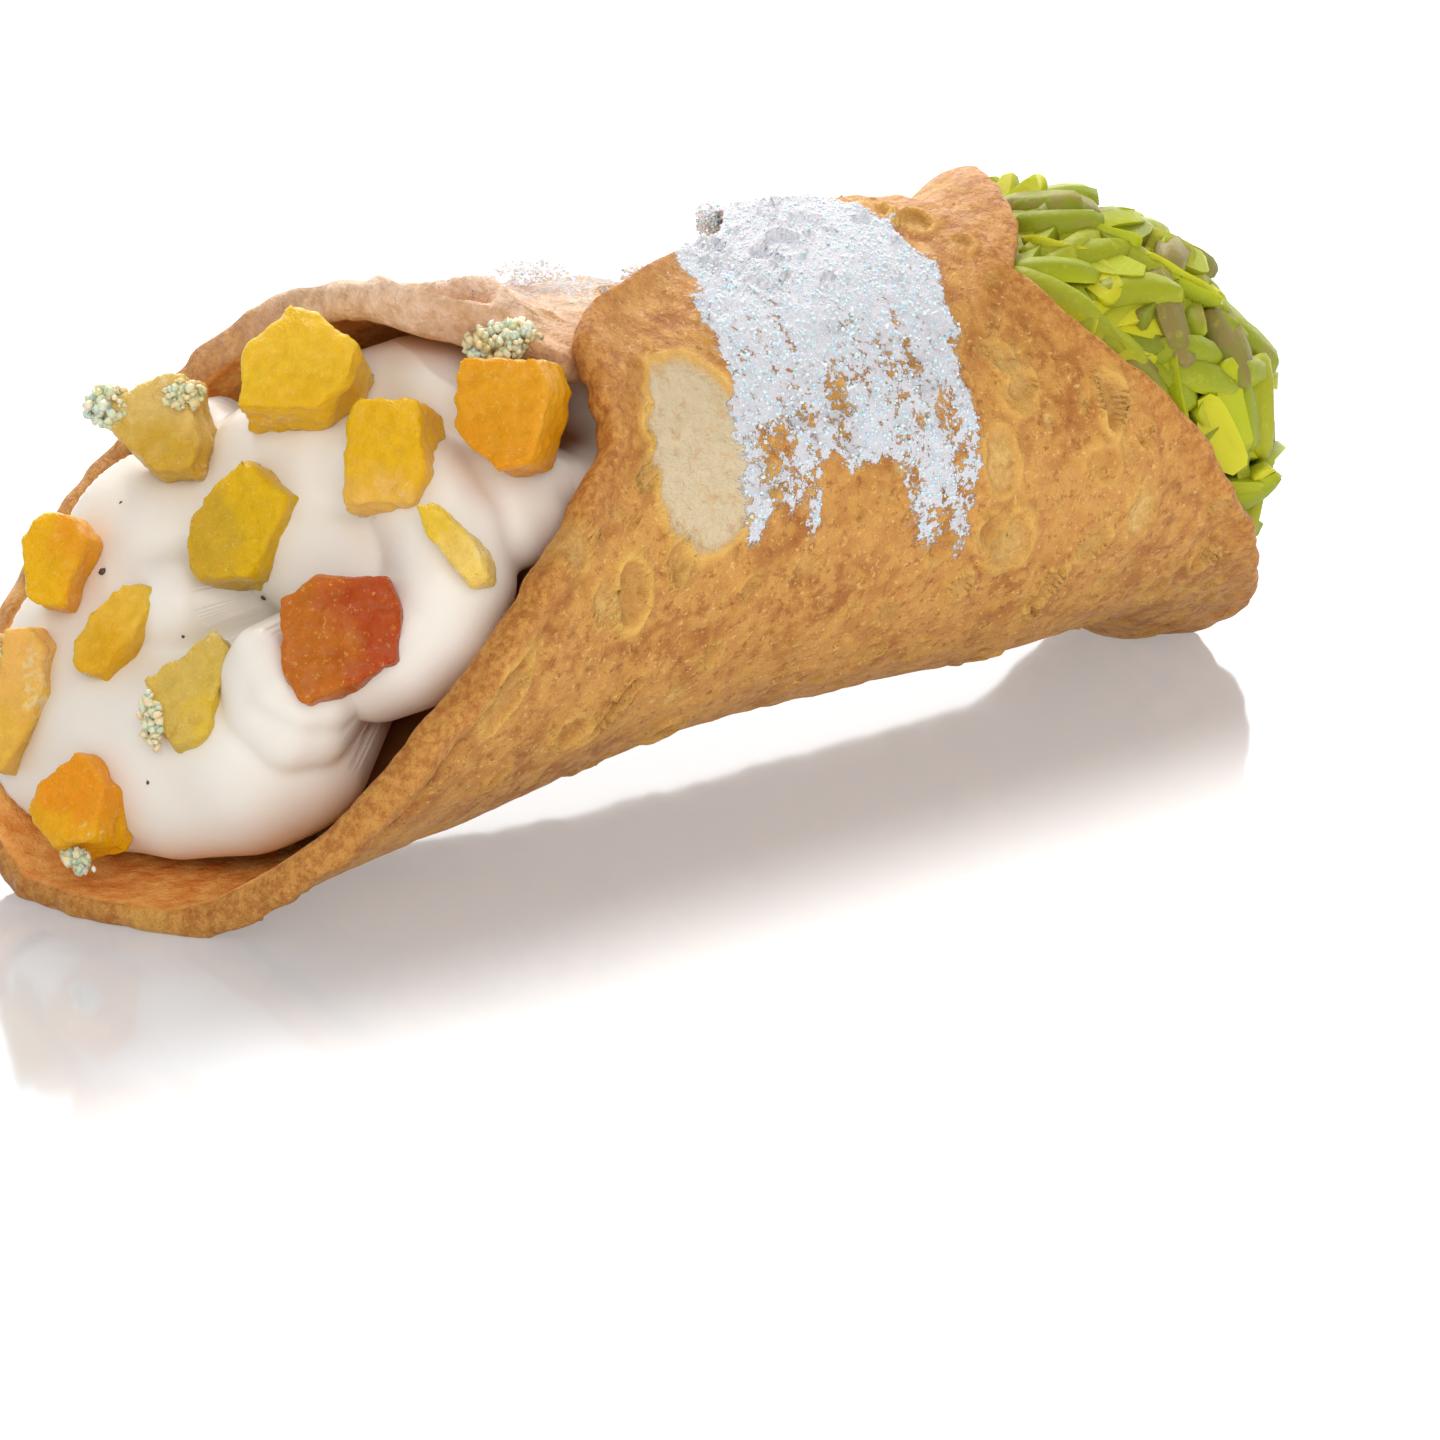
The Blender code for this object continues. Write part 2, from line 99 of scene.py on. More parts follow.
# Piped strands of the left mouth: points along the top of each, its radius, and the width
# of the soft crease between it and the ones before (mm)
LOBES = [([(-38, -1, 38.5), (-47.5, 4.5, 33.5)], 9, 3),
         ([(-47.5, 4.5, 33.5), (-56, 14, 27.5)], 9, 3),
         ([(-56, 14, 27.5), (-61.5, 8, 18)], 9, 3),
         ([(-61.5, 1, 17), (-58.5, -4.5, 17.5)], 8, 2.5),
         ([(-62, -1, 13.5), (-58.5, -5, 14.5)], 6.5, 2.5),
         ([(-57.5, -6, 16.5), (-54.5, -7.5, 16.5)], 6.5, 2.5),
         ([(-61.5, 14.5, 21), (-63.5, 7.5, 17)], 7, 2.5),
         ([(-60.5, 21.5, 22), (-65, 17, 15.5)], 6.5, 2.5),
         ([(-66, 12, 12.5), (-64.5, 5, 13)], 6.5, 2.5),
         ([(-53.5, 21, 32), (-55, 10.5, 30.5)], 6.5, 2.2),
         ([(-58.5, 10.5, 24.5), (-57, 4.5, 26)], 5, 1.6),
         ([(-41, 1.5, 40.5), (-37, -2, 42.5)], 6, 1.6),
         ([(-47.5, 4.5, 37), (-45.5, -1, 37.5)], 6.5, 1.6),
         ([(-49, -1.5, 32.5), (-47, -7.5, 30)], 6, 2),
         ([(-47.5, 13.5, 37), (-48, 10, 35.5)], 3.8, 0.7),
         ([(-36.5, -6, 42.5), (-33.5, -10, 41.5)], 6.5, 1.4),
         ([(-35, -13, 37.5), (-36, -15.5, 33.5)], 3.6, 0.8),
         ([(-32, -13, 38), (-33.5, -15.5, 34)], 3.2, 0.8),
         ([(-29, -12.5, 39), (-30.5, -14.5, 35.5)], 3, 0.8),
         ([(-43.5, -5, 38), (-42, -10, 36.5), (-42.5, -14, 34), (-43.5, -15.5, 31), (-45, -15.5, 28),
           (-47.5, -14.5, 26), (-49, -12.5, 25)], 5.6, 0.9),
         ([(-56, -8, 22.5), (-56.5, -9, 20), (-55.5, -10.5, 18.5), (-53.5, -11, 18.5)],
          3.6, 0.6),
         ([(-55.5, -8.5, 24), (-55.5, -10.5, 22), (-54.5, -11.5, 21), (-53, -12, 21)], 3.2, 0.5)]

# A crevice between the cream and the near flap: its depth (mm), where round the tube and how
# wide (degrees), and where along it and how long (mm)
CREVICE = (4.5, 141, 17)
CREVICE_RUN = (-25.5, 3.5)
SHADY = (9, 14)             # cream this deep in the mouth gets warm painted shade (mm)

# Right dome: half an ellipsoid on a tube, its upper part leaning back
DOME_CENTRE = np.array([41, 0, 26]) * MM
DOME_LEAN = 0.2
CORE_RADII = np.array([20.5, 17.5, 18.0]) * MM   # the cream under the slivers
COAT_RADII = np.array([24, 20.5, 21.5]) * MM     # the outline of the heap of slivers
LAP = 145                   # degrees, past which the far flap is the inner one

SHIFT = np.array([2.2, 0.2, 0.0]) * MM           # from the tube's middle to the frame's origin

# ---------------------------------------------------------------- shapes of the looks

DOUGH_LINES = 312           # steps round the dough's outer face
SHEET_STEPS = 252           # and along it, from mouth to mouth
INNER_SHARE = 3             # the inner face has this many times fewer steps each way
RIM_STEPS = 6               # steps round the thickness of a rim
RIM_STRAY = 0.22 * MM       # how far the rims waver
LIP_END = (165, 190)        # degrees, over which the near flap's lip thins out again
LIP = (0.9, 2.4)            # the rim is thicker on its outside: height and length (mm)
LIP_GROOVE = (3.6, 0.8, 0.9)      # a groove along the left rim: place, width, depth (mm)

# Blisters of the near side: x (mm), degrees, half length and half width (mm), turn in the
# sheet (degrees), rise of the ring, sink of the dish (mm), and how pale the dish is
BLISTERS = [(-26.6, 91, 2.0, 3.2, 8, 0.35, 0.40, 0.3),
            (-39.8, 77, 1.8, 3.6, -30, 0.25, 0.35, 0.4),
            (-26.2, 60, 0.9, 3.6, -38, 0.25, 0.55, 0.0),
            (-16.0, 68, 1.0, 1.3, 0, 0.25, 0.30, 0.2),
            (12.3, 70, 1.1, 1.6, -25, 0.30, 0.30, 0.8),
            (28.9, 108, 1.5, 2.5, 0, 0.32, 0.35, 0.0),
            (18.5, 116, 2.1, 2.1, 0, 0.22, 0.20, 0.2),
            (33.5, 80, 2.0, 3.0, 0, 0.12, 0.22, 1.0),
            (23.9, 62, 1.2, 2.6, -30, 0.30, 0.30, 0.3),
            (23.6, 54, 0.8, 1.1, 20, 0.15, 1.00, 0.0),
            (46.4, 56, 1.0, 1.3, 0, 0.25, 0.25, 0.2),
            (15.2, 101, 2.3, 3.0, 10, 0.20, 0.22, 0.9),
            (17.2, 80, 2.6, 2.9, -20, 0.25, 0.25, 0.8),
            (27.9, 73, 2.2, 1.5, 30, 0.25, 0.25, 0.5),
            (46.4, 40, 5.0, 0.9, 8, 0.20, 0.35, 1.0),
            (4.3, 53, 1.4, 1.0, 0, 0.20, 0.20, 0.3),
            (-21.2, 96, 1.4, 2.2, 0, 0.22, 0.22, 0.4),
            (-33.0, 104, 1.6, 2.2, 20, 0.20, 0.20, 0.5),
            (30.5, -150, 2.2, 2.6, 0, 0.35, 0.30, 0.5)]
SMALL_BLISTERS = 420        # further ones all over
SMALL_SIZES = (0.5, 1.9)    # their half lengths (mm)

# The smooth pale patch beside the sugar: x (mm), degrees, half length, half width (mm)
PALE_PATCH = (-17.5, 117, 5.6, 8.0)

# The open blister of the far flap: x (mm), degrees, half length, half width (mm)
OPEN_BLISTER = (-31.3, -186, 5.2, 4.6)

# Icing sugar: its left and right border and its lower edge, as (degrees, mm) and (mm, degrees)
SUGAR_LEFT = [(60, -15), (97, -14.8), (127, -13.4), (145, -12), (165, -9), (215, -9)]
SUGAR_RIGHT = [(60, 10), (81, 11.5), (98, 13.4), (128, 13.4), (165, 16.2), (215, 15)]
SUGAR_LOW = [(-16, 95), (-12.5, 94), (-10.5, 104), (-8, 101), (-6.2, 96), (-4.5, 108),
             (0, 110), (3, 104), (5, 84), (8, 80), (11, 82), (14, 92)]
SUGAR_GRAINS = 6000
SUGAR_SIZES = (0.07, 0.24)   # half sizes of a grain (mm)

# Candied fruit: centre (mm), thickness (mm) and the outline of its front as seen from the
# mouth, to the right and up from the centre (mm)
FRUIT = [((-43.8, 0, 43.8), 7, [(-1.2, 4.6), (0.8, 4.4), (5.1, 1.3), (4.9, -1.7), (2.5, -4.5),
                                (-4.8, -4.4), (-4.8, 0.6)]),
         ((-41, -8.8, 37.8), 6.5, [(-3.1, 4.2), (2.5, 4.4), (3.3, 1.5), (4.2, -1.0),
                                   (3.8, -4.4), (-2.5, -5.6), (-3.8, 1.9)]),
         ((-34.3, -15.6, 41.8), 7, [(-3.5, 4.3), (3.1, 4.8), (4.4, 2.5), (3.5, -4.2),
                                    (0.6, -5.0), (-1.8, -3.6), (-3.8, -1.7)]),
         ((-41, -18.5, 32.5), 4.5, [(-4.0, 2.7), (-2.3, 3.3), (2.5, -0.6), (2.9, -2.7),
                                    (1.5, -3.5), (-2.3, 0.2)]),
         ((-49.5, 0, 31), 7, [(-0.8, 5.6), (4.3, 3.1), (4.2, 0.8), (2.0, -4.4), (-2.9, -5.5),
                              (-4.9, -2.3), (-4.6, 0.3), (-2.2, 3.6)]),
         ((-49, -13, 24.5), 7, [(-5.2, 3.3), (-2.1, 5.0), (3.8, 5.4), (5.2, 2.5), (5.2, -2.0),
                                (0.4, -3.9), (-2.9, -5.8), (-4.5, -3.0)]),
         ((-51.5, 11.5, 37.5), 5.5, [(-4.8, 0.8), (0.4, 4.2), (2.7, 4.6), (5.0, -1.3),
                                     (4.6, -4.0), (0.8, -4.4), (-3.8, -0.8)]),
         ((-60.5, 14, 26.5), 6, [(-2.7, 1.9), (-0.8, 4.0), (1.3, 4.2), (3.5, 2.1), (2.6, -1.0),
                                 (1.9, -4.0), (-1.3, -3.6)]),
         ((-58.5, 6.5, 21.5), 6.5, [(-2.5, 1.5), (0, 4.0), (2.9, 4.4), (3.3, 2.7), (0.2, -4.4),
                                    (-2.5, -4.0), (-3.5, -1.9)]),
         ((-57.5, -2.5, 18.5), 7.5, [(-3.5, 0.6), (2.3, 5.4), (3.5, 3.5), (2.8, -4.0),
                                     (0.2, -5.4), (-2.4, -3.0)]),
         ((-65.6, 11.8, 15.8), 5, [(-1.3, 6.2), (0.6, 6.6), (2.1, 5.0), (2.5, 1.0),
                                   (-0.4, -6.4), (-2.2, -6.4), (-3.2, 0.0)]),
         ((-66, 2, 9.5), 6, [(-3.1, 0.6), (-0.2, 4.2), (1.0, 4.2), (3.5, 1.9), (4.0, -2.7),
                             (-0.2, -4.4), (-3.5, -1.5)])]
FRUIT_FRONT = 0.96          # the front is this much of the back
FRUIT_DEPTHS = (0.40, -0.55)      # front and back, as shares of the thickness
FRUIT_STRAY = 0.15 * MM     # how far a corner strays
FRUIT_FACING = Vector((-0.68, -0.50, 0.46))
FRUIT_TILT = 0.15
LEAN_SEED = 100
FRUIT_VOXEL = 0.34 * MM

SLIVERS = 440
SLIVER_LENGTHS = (7.5, 11.0)      # mm
SLIVER_WIDTHS = (2.8, 4.0)
SLIVER_DEPTHS = (2.2, 3.2)
SLIVER_CORNER = 75          # degrees, over which a corner of a sliver shows as an edge

# Clumps of coarse sugar on the fruit: centre and half sizes (mm), and how many crystals
FROSTING = [((-30.5, -9.8, 46.0), (3.6, 2.4, 1.7), 480), ((-54.5, 14.3, 39.3), (1.9, 2.3, 1.8), 260),
            ((-50.2, 9.2, 40.8), (1.6, 2.0, 1.3), 160), ((-53.0, 20.3, 27.8), (0.8, 1.2, 1.2), 40),
            ((-62.0, -3.6, 17.8), (0.7, 1.6, 2.6), 60), ((-68.4, -1.5, 6.2), (0.9, 2.4, 1.0), 90),
            ((-66.6, 14.5, 19.5), (0.9, 1.5, 2.0), 60)]
FROSTING_SIZES = (0.20, 0.62)     # half sizes of a crystal (mm)
# and of icing sugar on the flaps
CLUMPS = [((-20.0, 1.5, 48.3), (4.2, 3.4, 0.7), 260), ((9.2, 12.8, 46.9), (1.2, 2.3, 1.9), 520),
          ((-12.5, -6.0, 48.6), (2.6, 2.0, 0.8), 200)]

# Dark specks in the cream: a point near each (mm) and its size (mm)
SPECKS = [((-52.6, 0, 24.5), 0.34), ((-55, 10, 26), 0.36), ((-54.5, 1.5, 22.5), 0.18),
          ((-53.5, 12, 31), 0.16), ((-62.5, -3, 12), 0.2), ((-57, 5, 20), 0.15)]

FLOOR_GLOW = 0.30           # painted light: how strongly the table glows under the object,
FLOOR_GLOW_SPAN = (-0.048, -0.020)    # rising to full between these places in front of it

# Camera: where it looks, how far off it stands, its bearing and height (degrees)
AIM = Vector((2.38, 0.2, 2.82)) * MM
CAMERA_DISTANCE = 356.3 * MM
CAMERA_BEARING = -37.92
CAMERA_HEIGHT = 20
LENS = 95


# ---------------------------------------------------------------- small tools

def smooth(t):
    """Rises from 0 to 1 as t does, level at both ends."""
    t = np.clip(t, 0, 1)
    return t * t * (3 - 2 * t)


def step_between(low, high, value):
    return smooth((value - low) / (high - low))


LATTICE = np.random.default_rng(7).uniform(-1, 1, (32, 32, 32))


def cloud(points, pitch, seed=0):
    """Smooth noise between -1 and 1; its lumps are about one pitch (metres) across."""
    spot = points / pitch + 11.3 * seed
    cell = np.floor(spot).astype(int)
    share = smooth(spot - cell)
    total = 0
    for corner in np.ndindex(2, 2, 2):
        at = (cell + corner) % len(LATTICE)
        weight = np.prod(np.where(corner, share, 1 - share), axis=-1)
        total = total + LATTICE[at[..., 0], at[..., 1], at[..., 2]] * weight
    return total


def bell(angle, centre, width):
    """1 at the centre angle, falling off on both sides; angles in degrees."""
    away = (angle - centre + 180) % 360 - 180
    return np.exp(-(away / width) ** 2)


def swelling(angle, form):
    """A rise in metres round the tube, from (millimetres, centre, width)."""
    height, centre, width = form
    return height * MM * bell(angle, centre, width)


def onset(x, run):
    """Rises from 0 to 1 along the tube, from (start, length) in millimetres."""
    start, length = run
    return smooth((x / MM - start) / length)


def hump(x, run):
    """1 at one place along the tube, falling off on both sides; (place, length) in mm."""
    place, length = run
    return np.exp(-((x / MM - place) / length) ** 2)


def curve_through(stations):
    """A smooth curve through (angle, millimetres) that doesn't swing past its stations."""
    at, value = np.array(stations, float).T
    value = value * MM
    step = np.diff(at)
    slope = np.diff(value) / step
    tangent = np.zeros_like(at)
    tangent[0], tangent[-1] = slope[0], slope[-1]
    for i in range(1, len(at) - 1):
        if slope[i - 1] * slope[i] > 0:
            tangent[i] = 2 / (1 / slope[i - 1] + 1 / slope[i])

    def curve(angle):
        angle = np.clip(angle, at[0], at[-1])
        i = np.clip(np.searchsorted(at, angle) - 1, 0, len(step) - 1)
        u = (angle - at[i]) / step[i]
        start = (1 + 2 * u) * (1 - u) ** 2 * value[i] + u * (1 - u) ** 2 * step[i] * tangent[i]
        end = u * u * (3 - 2 * u) * value[i + 1] - u * u * (1 - u) * step[i] * tangent[i + 1]
        return start + end
    return curve


def between(stations, at):
    """Straight lines through (place, value) stations."""
    place, value = np.array(stations, float).T
    return np.interp(at, place, value)


def ragged(curve, phase):
    """The same curve with the uneven edge of hand-cut dough."""
    def uneven(angle):
        waves = (np.sin(0.19 * angle + phase) + 0.7 * np.sin(0.43 * angle + 2.3 * phase)
                 + 0.5 * np.sin(0.93 * angle + 4.1 * phase))
        return curve(angle) + RIM_STRAY * waves
    return uneven


left_reach = ragged(curve_through(LEFT_REACH), 1.0)
right_reach = ragged(curve_through(RIGHT_REACH), 2.0)


def grid_faces(rows):
    """Quads between neighbouring rows of vertex numbers."""
    low, high = rows[:-1], rows[1:]
    quads = np.stack([low[:, :-1], low[:, 1:], high[:, 1:], high[:, :-1]], -1)
    return quads.reshape(-1, 4).tolist()


def new_piece(name, points, faces, look, replaces=()):
    """A smooth-shaded mesh at its place in the frame, riding on the one body."""
    mesh = bpy.data.meshes.new(name)
    mesh.from_pydata((np.asarray(points) + SHIFT).tolist(), [], faces)
    bm = bmesh.new()
    bm.from_mesh(mesh)
    bmesh.ops.recalc_face_normals(bm, faces=bm.faces[:])
    bm.to_mesh(mesh)
    bm.free()
    mesh.shade_smooth()
    mesh.materials.append(look)
    piece = bpy.data.objects.new(name, mesh)
    bpy.context.scene.collection.objects.link(piece)
    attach(piece, BODY)
    if replaces:
        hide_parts(*replaces)
    return piece


def set_attribute(piece, name, values):
    """One number for each vertex, which the material reads by name."""
    attribute = piece.data.attributes.new(name, "FLOAT", "POINT")
    attribute.data.foreach_set("value", np.asarray(values, np.float32).ravel())


# ---------------------------------------------------------------- materials

def srgb(red, green, blue):
    """A colour from its 0-255 screen values."""
    value = np.array([red, green, blue]) / 255
    linear = np.where(value <= 0.04045, value / 12.92, ((value + 0.055) / 1.055) ** 2.4)
    return (*linear.tolist(), 1.0)


class Look:
    """A material in the making; each method adds a node and returns its output."""

    def __init__(self, name, **sockets):
        self.material = bpy.data.materials.new(name)
        self.material.use_nodes = True
        self.tree = self.material.node_tree
        self.shader = self.tree.nodes["Principled BSDF"]
        for socket, value in sockets.items():
            self.shader.inputs[socket.replace("_", " ")].default_value = value
        self.place = self.tree.nodes.new("ShaderNodeTexCoord").outputs["Object"]

    def node(self, kind, inputs, **settings):
        made = self.tree.nodes.new(kind)
        for setting, value in settings.items():
            setattr(made, setting, value)
        for socket, value in inputs.items():
            if isinstance(value, bpy.types.NodeSocket):
                self.tree.links.new(value, made.inputs[socket])
            else:
                made.inputs[socket].default_value = value
        return made

    def noise(self, size, detail=2, roughness=0.5, seed=0):
        """Noise whose lumps are about size (mm) across."""
        shifted = self.node("ShaderNodeVectorMath", {0: self.place, 1: (0.37 * seed,) * 3})
        made = self.node("ShaderNodeTexNoise", {
            "Vector": shifted.outputs[0], "Scale": 1 / (size * MM), "Detail": detail,
            "Roughness": roughness})
        return made.outputs["Fac"]

    def bubbles(self, size):
        """Distance from the middles of wavering bubbles about size (mm) across."""
        waver = self.node("ShaderNodeVectorMath", {0: self.place, 1: self.node(
            "ShaderNodeVectorMath", {0: self.noise(2 * size, 2, 0.6, 21), 1: (size * MM,) * 3},
            operation="MULTIPLY").outputs[0]})
        made = self.node("ShaderNodeTexVoronoi", {
            "Vector": waver.outputs[0], "Scale": 1 / (size * MM)}, feature="SMOOTH_F1")
        return made.outputs["Distance"]

    def attribute(self, name):
        return self.node("ShaderNodeAttribute", {}, attribute_name=name).outputs["Fac"]

    def math(self, operation, *values):
        made = self.node("ShaderNodeMath", dict(enumerate(values)), operation=operation)
        return made.outputs[0]

    def span(self, value, low, high, to_low=0.0, to_high=1.0):
        """Rises smoothly from to_low to to_high while value goes from low to high."""
        made = self.node("ShaderNodeMapRange", {
            "Value": value, "From Min": low, "From Max": high, "To Min": to_low,
            "To Max": to_high}, interpolation_type="SMOOTHSTEP")
        return made.outputs["Result"]

    def mix(self, share, first, second):
        """From the first colour to the second."""
        made = self.tree.nodes.new("ShaderNodeMix")
        made.data_type = "RGBA"
        for socket, value in ((0, share), (6, first), (7, second)):
            if isinstance(value, bpy.types.NodeSocket):
                self.tree.links.new(value, made.inputs[socket])
            else:
                made.inputs[socket].default_value = value
        return made.outputs[2]

    def bump(self, height, distance, strength=1.0):
        """Raises the surface by height times distance (mm)."""
        inputs = {"Height": height, "Distance": distance * MM, "Strength": strength}
        normal = self.shader.inputs["Normal"]
        if normal.is_linked:
            inputs["Normal"] = normal.links[0].from_socket
        made = self.node("ShaderNodeBump", inputs)
        self.tree.links.new(made.outputs[0], normal)

    def set(self, **sockets):
        for socket, value in sockets.items():
            self.tree.links.new(value, self.shader.inputs[socket.replace("_", " ")])


def dough_look():
    """Golden fried dough: mottled, yellow round its blisters, under a dust of sugar."""
    look = Look("fried_dough_look", Specular_IOR_Level=0.3)
    colour = look.mix(look.span(look.noise(9, 3), 0.35, 0.65), srgb(174, 108, 44),
                      srgb(204, 142, 70))
    bubbles = look.bubbles(1.5)
    colour = look.mix(look.span(bubbles, 0.15, 0.60, 0.55, 0), colour, srgb(222, 166, 80))
    colour = look.mix(look.span(look.noise(2.2, 4, 0.6, 1), 0.47, 0.62, 0, 0.75), colour,
                      srgb(214, 156, 78))
    colour = look.mix(look.span(look.noise(1.1, 4, 0.75, 2), 0.53, 0.65, 0, 0.7), colour,
                      srgb(150, 88, 30))
    colour = look.mix(look.span(look.noise(0.55, 3, 0.7, 9), 0.58, 0.68, 0, 0.8), colour,
                      srgb(232, 188, 108))
    colour = look.mix(look.attribute("rim"), colour, look.mix(
        look.span(look.noise(0.9, 4, 0.75, 10), 0.35, 0.65), srgb(170, 100, 34),
        srgb(216, 154, 74)))
    # Painted light: the top of the far flap is painted a pale pinkish tan where light from above
    # falls on it.
    colour = look.mix(look.attribute("top"), colour, look.mix(
        look.span(look.noise(1.6, 4, 0.7, 11), 0.35, 0.65), srgb(212, 174, 140),
        srgb(240, 208, 180)))
    colour = look.mix(look.attribute("burst"), colour, look.mix(
        look.span(look.noise(1.2, 4, 0.7, 13), 0.35, 0.65), srgb(176, 96, 24),
        srgb(226, 158, 66)))
    # Painted shade: the groove along the left rim is painted dark brown.
    colour = look.mix(look.attribute("shaded_groove"), colour, srgb(138, 76, 26))
    colour = look.mix(look.attribute("ring"), colour, srgb(236, 186, 92))
    # Painted shade: the sunk dishes of the blisters are painted darker.
    colour = look.mix(look.attribute("dish"), colour, srgb(176, 118, 48))
    light = look.span(look.noise(0.9, 3, 0.7, 14), 0.35, 0.65, 0.4, 1)
    colour = look.mix(look.math("MULTIPLY", look.attribute("light"), light), colour,
                      srgb(232, 196, 118))
    pale = look.mix(look.noise(1.0, 4, 0.7, 3), srgb(202, 180, 140), srgb(230, 210, 174))
    patchy = look.span(look.noise(1.3, 3, 0.6, 12), 0.30, 0.50, 0.55, 1)
    colour = look.mix(look.math("MULTIPLY", look.attribute("pale"), patchy), colour, pale)
    # The inner face: its own bright orange, painted brighter still as painted light to lift it out of
    # its shade.
    inside = look.mix(look.span(look.noise(2.0, 3, 0.6, 4), 0.3, 0.7), srgb(234, 146, 64),
                      srgb(255, 190, 104))
    colour = look.mix(look.attribute("inside"), colour, inside)
    grain = look.noise(0.7, 3, 0.7, 5)
    sugar = look.math("ADD", look.attribute("sugar"), look.span(grain, 0.25, 0.75, -0.42, 0.42))
    sugar = look.span(sugar, 0.38, 0.60)
    white = look.mix(look.noise(0.5, 2, 0.5, 6), srgb(203, 201, 206), srgb(235, 233, 237))
    look.set(Base_Color=look.mix(sugar, colour, white))
    look.set(Roughness=look.math("ADD", look.span(look.noise(1.8, 3), 0.3, 0.7, 0.42, 0.6),
                                 look.math("MULTIPLY", sugar, 0.4)))
    look.bump(look.span(bubbles, 0.10, 0.65, 1, 0), 0.16, 0.7)
    look.bump(look.noise(1.1, 4, 0.7, 7), 0.45, 0.9)
    look.bump(look.noise(0.35, 3, 0.7, 8), 0.16, 0.8)
    look.bump(sugar, 0.12)
    return look.material


def cream_look():
    look = Look("ricotta_cream_look", Roughness=0.36, Specular_IOR_Level=0.4,
                Subsurface_Weight=0.15, Subsurface_Scale=0.0010)
    look.shader.inputs["Subsurface Radius"].default_value = (1.0, 0.7, 0.45)
    colour = look.mix(look.noise(7, 3), srgb(234, 226, 214), srgb(243, 237, 227))
    # Painted shade: deep and creviced cream is painted warm brown, as shade lit by the dough.
    look.set(Base_Color=look.mix(look.attribute("cream_shade"), colour, srgb(142, 92, 54)))
    look.bump(look.noise(2.2, 3, 0.5), 0.10, 0.5)
    look.bump(look.noise(0.5, 2, 0.5, 2), 0.03, 0.5)
    return look.material


def speck_look():
    look = Look("speck_look", Roughness=0.5)
    look.set(Base_Color=look.mix(look.noise(0.2), srgb(58, 42, 40), srgb(104, 80, 66)))
    return look.material


def sugar_look():
    look = Look("icing_sugar_look", Roughness=0.85, Subsurface_Weight=0.7,
                Subsurface_Scale=0.0012)
    look.set(Base_Color=look.mix(look.noise(0.6), srgb(243, 242, 245), srgb(253, 252, 253)))
    look.bump(look.noise(0.15, 2), 0.03)
    return look.material


def frosting_look():
    look = Look("sugar_frosting_look", Roughness=0.3, Specular_IOR_Level=0.4,
                Subsurface_Weight=0.6, Subsurface_Scale=0.0016)
    look.set(Base_Color=look.mix(look.span(look.noise(2.5), 0.35, 0.65), srgb(240, 210, 158),
                                 srgb(250, 236, 210)))
    look.bump(look.noise(0.3, 2), 0.06)
    return look.material


def fruit_look(name, main, second, frost):
    """Candied fruit: clear and glossy, its colour running from one side to the other."""
    look = Look(name, Specular_IOR_Level=0.18, Subsurface_Weight=0.40,
                Subsurface_Scale=0.0018, Coat_Weight=0.16, Coat_Roughness=0.12)
    look.shader.inputs["Subsurface Radius"].default_value = (1.0, 0.75, 0.10)
    share = look.math("ADD", look.attribute("side"), look.span(look.noise(3), 0, 1, -0.3, 0.3))
    colour = look.mix(look.span(share, 0.35, 0.75), srgb(*main), srgb(*second))
    colour = look.mix(look.span(look.noise(1.3, 4, 0.7, 1), 0.35, 0.75, 0.35, 0), colour,
                      srgb(*(0.90 * np.array(main))))
    colour = look.mix(look.span(look.noise(0.45, 3, 0.7, 5), 0.58, 0.70, 0, 0.30), colour,
                      srgb(252, 222, 120))
    colour = look.mix(look.span(look.noise(0.8, 3, 0.7, 6), 0.56, 0.68, 0, 0.25), colour,
                      srgb(*(0.86 * np.array(second))))
    crust = look.math("ADD", look.attribute("crust"), frost - 0.5)
    crust = look.math("ADD", crust, look.span(look.noise(0.8, 4, 0.7, 2), 0.2, 0.8, -0.4, 0.4))
    crust = look.span(crust, 0.50, 0.80, 0, 0.85)
    look.set(Base_Color=look.mix(crust, colour, srgb(240, 214, 156)))
    look.set(Roughness=look.span(crust, 0, 1, 0.24, 0.5))
    look.bump(look.noise(1.2, 3, 0.6, 3), 0.30, 0.7)
    look.bump(look.noise(0.4, 3, 0.7, 4), 0.30, 1.0)
    return look.material


def pistachio_look():
    """Slivered pistachio: lime on the cut, darker green and purple on the skin."""
    look = Look("pistachio_look", Roughness=0.5, Specular_IOR_Level=0.25, Subsurface_Weight=0.2,
                Subsurface_Scale=0.0015)
    look.shader.inputs["Subsurface Radius"].default_value = (0.6, 1.0, 0.2)
    tint = look.attribute("tint")
    cut = look.mix(look.span(tint, 0, 0.55), srgb(212, 206, 40), srgb(176, 184, 16))
    cut = look.mix(look.span(tint, 0.6, 1), cut, srgb(132, 140, 34))
    skin = look.mix(look.span(look.math("ADD", tint, look.noise(2.5)), 1.2, 1.5),
                    srgb(128, 138, 26), srgb(150, 116, 80))
    colour = look.mix(look.math("MULTIPLY", look.attribute("skin"), 0.6), cut, skin)
    look.set(Base_Color=look.mix(look.span(look.noise(1.2, 3, 0.6, 1), 0.55, 0.8, 0, 0.4),
                                 colour, srgb(214, 204, 76)))
    look.bump(look.noise(0.7, 3, 0.6, 2), 0.14, 0.7)
    return look.material


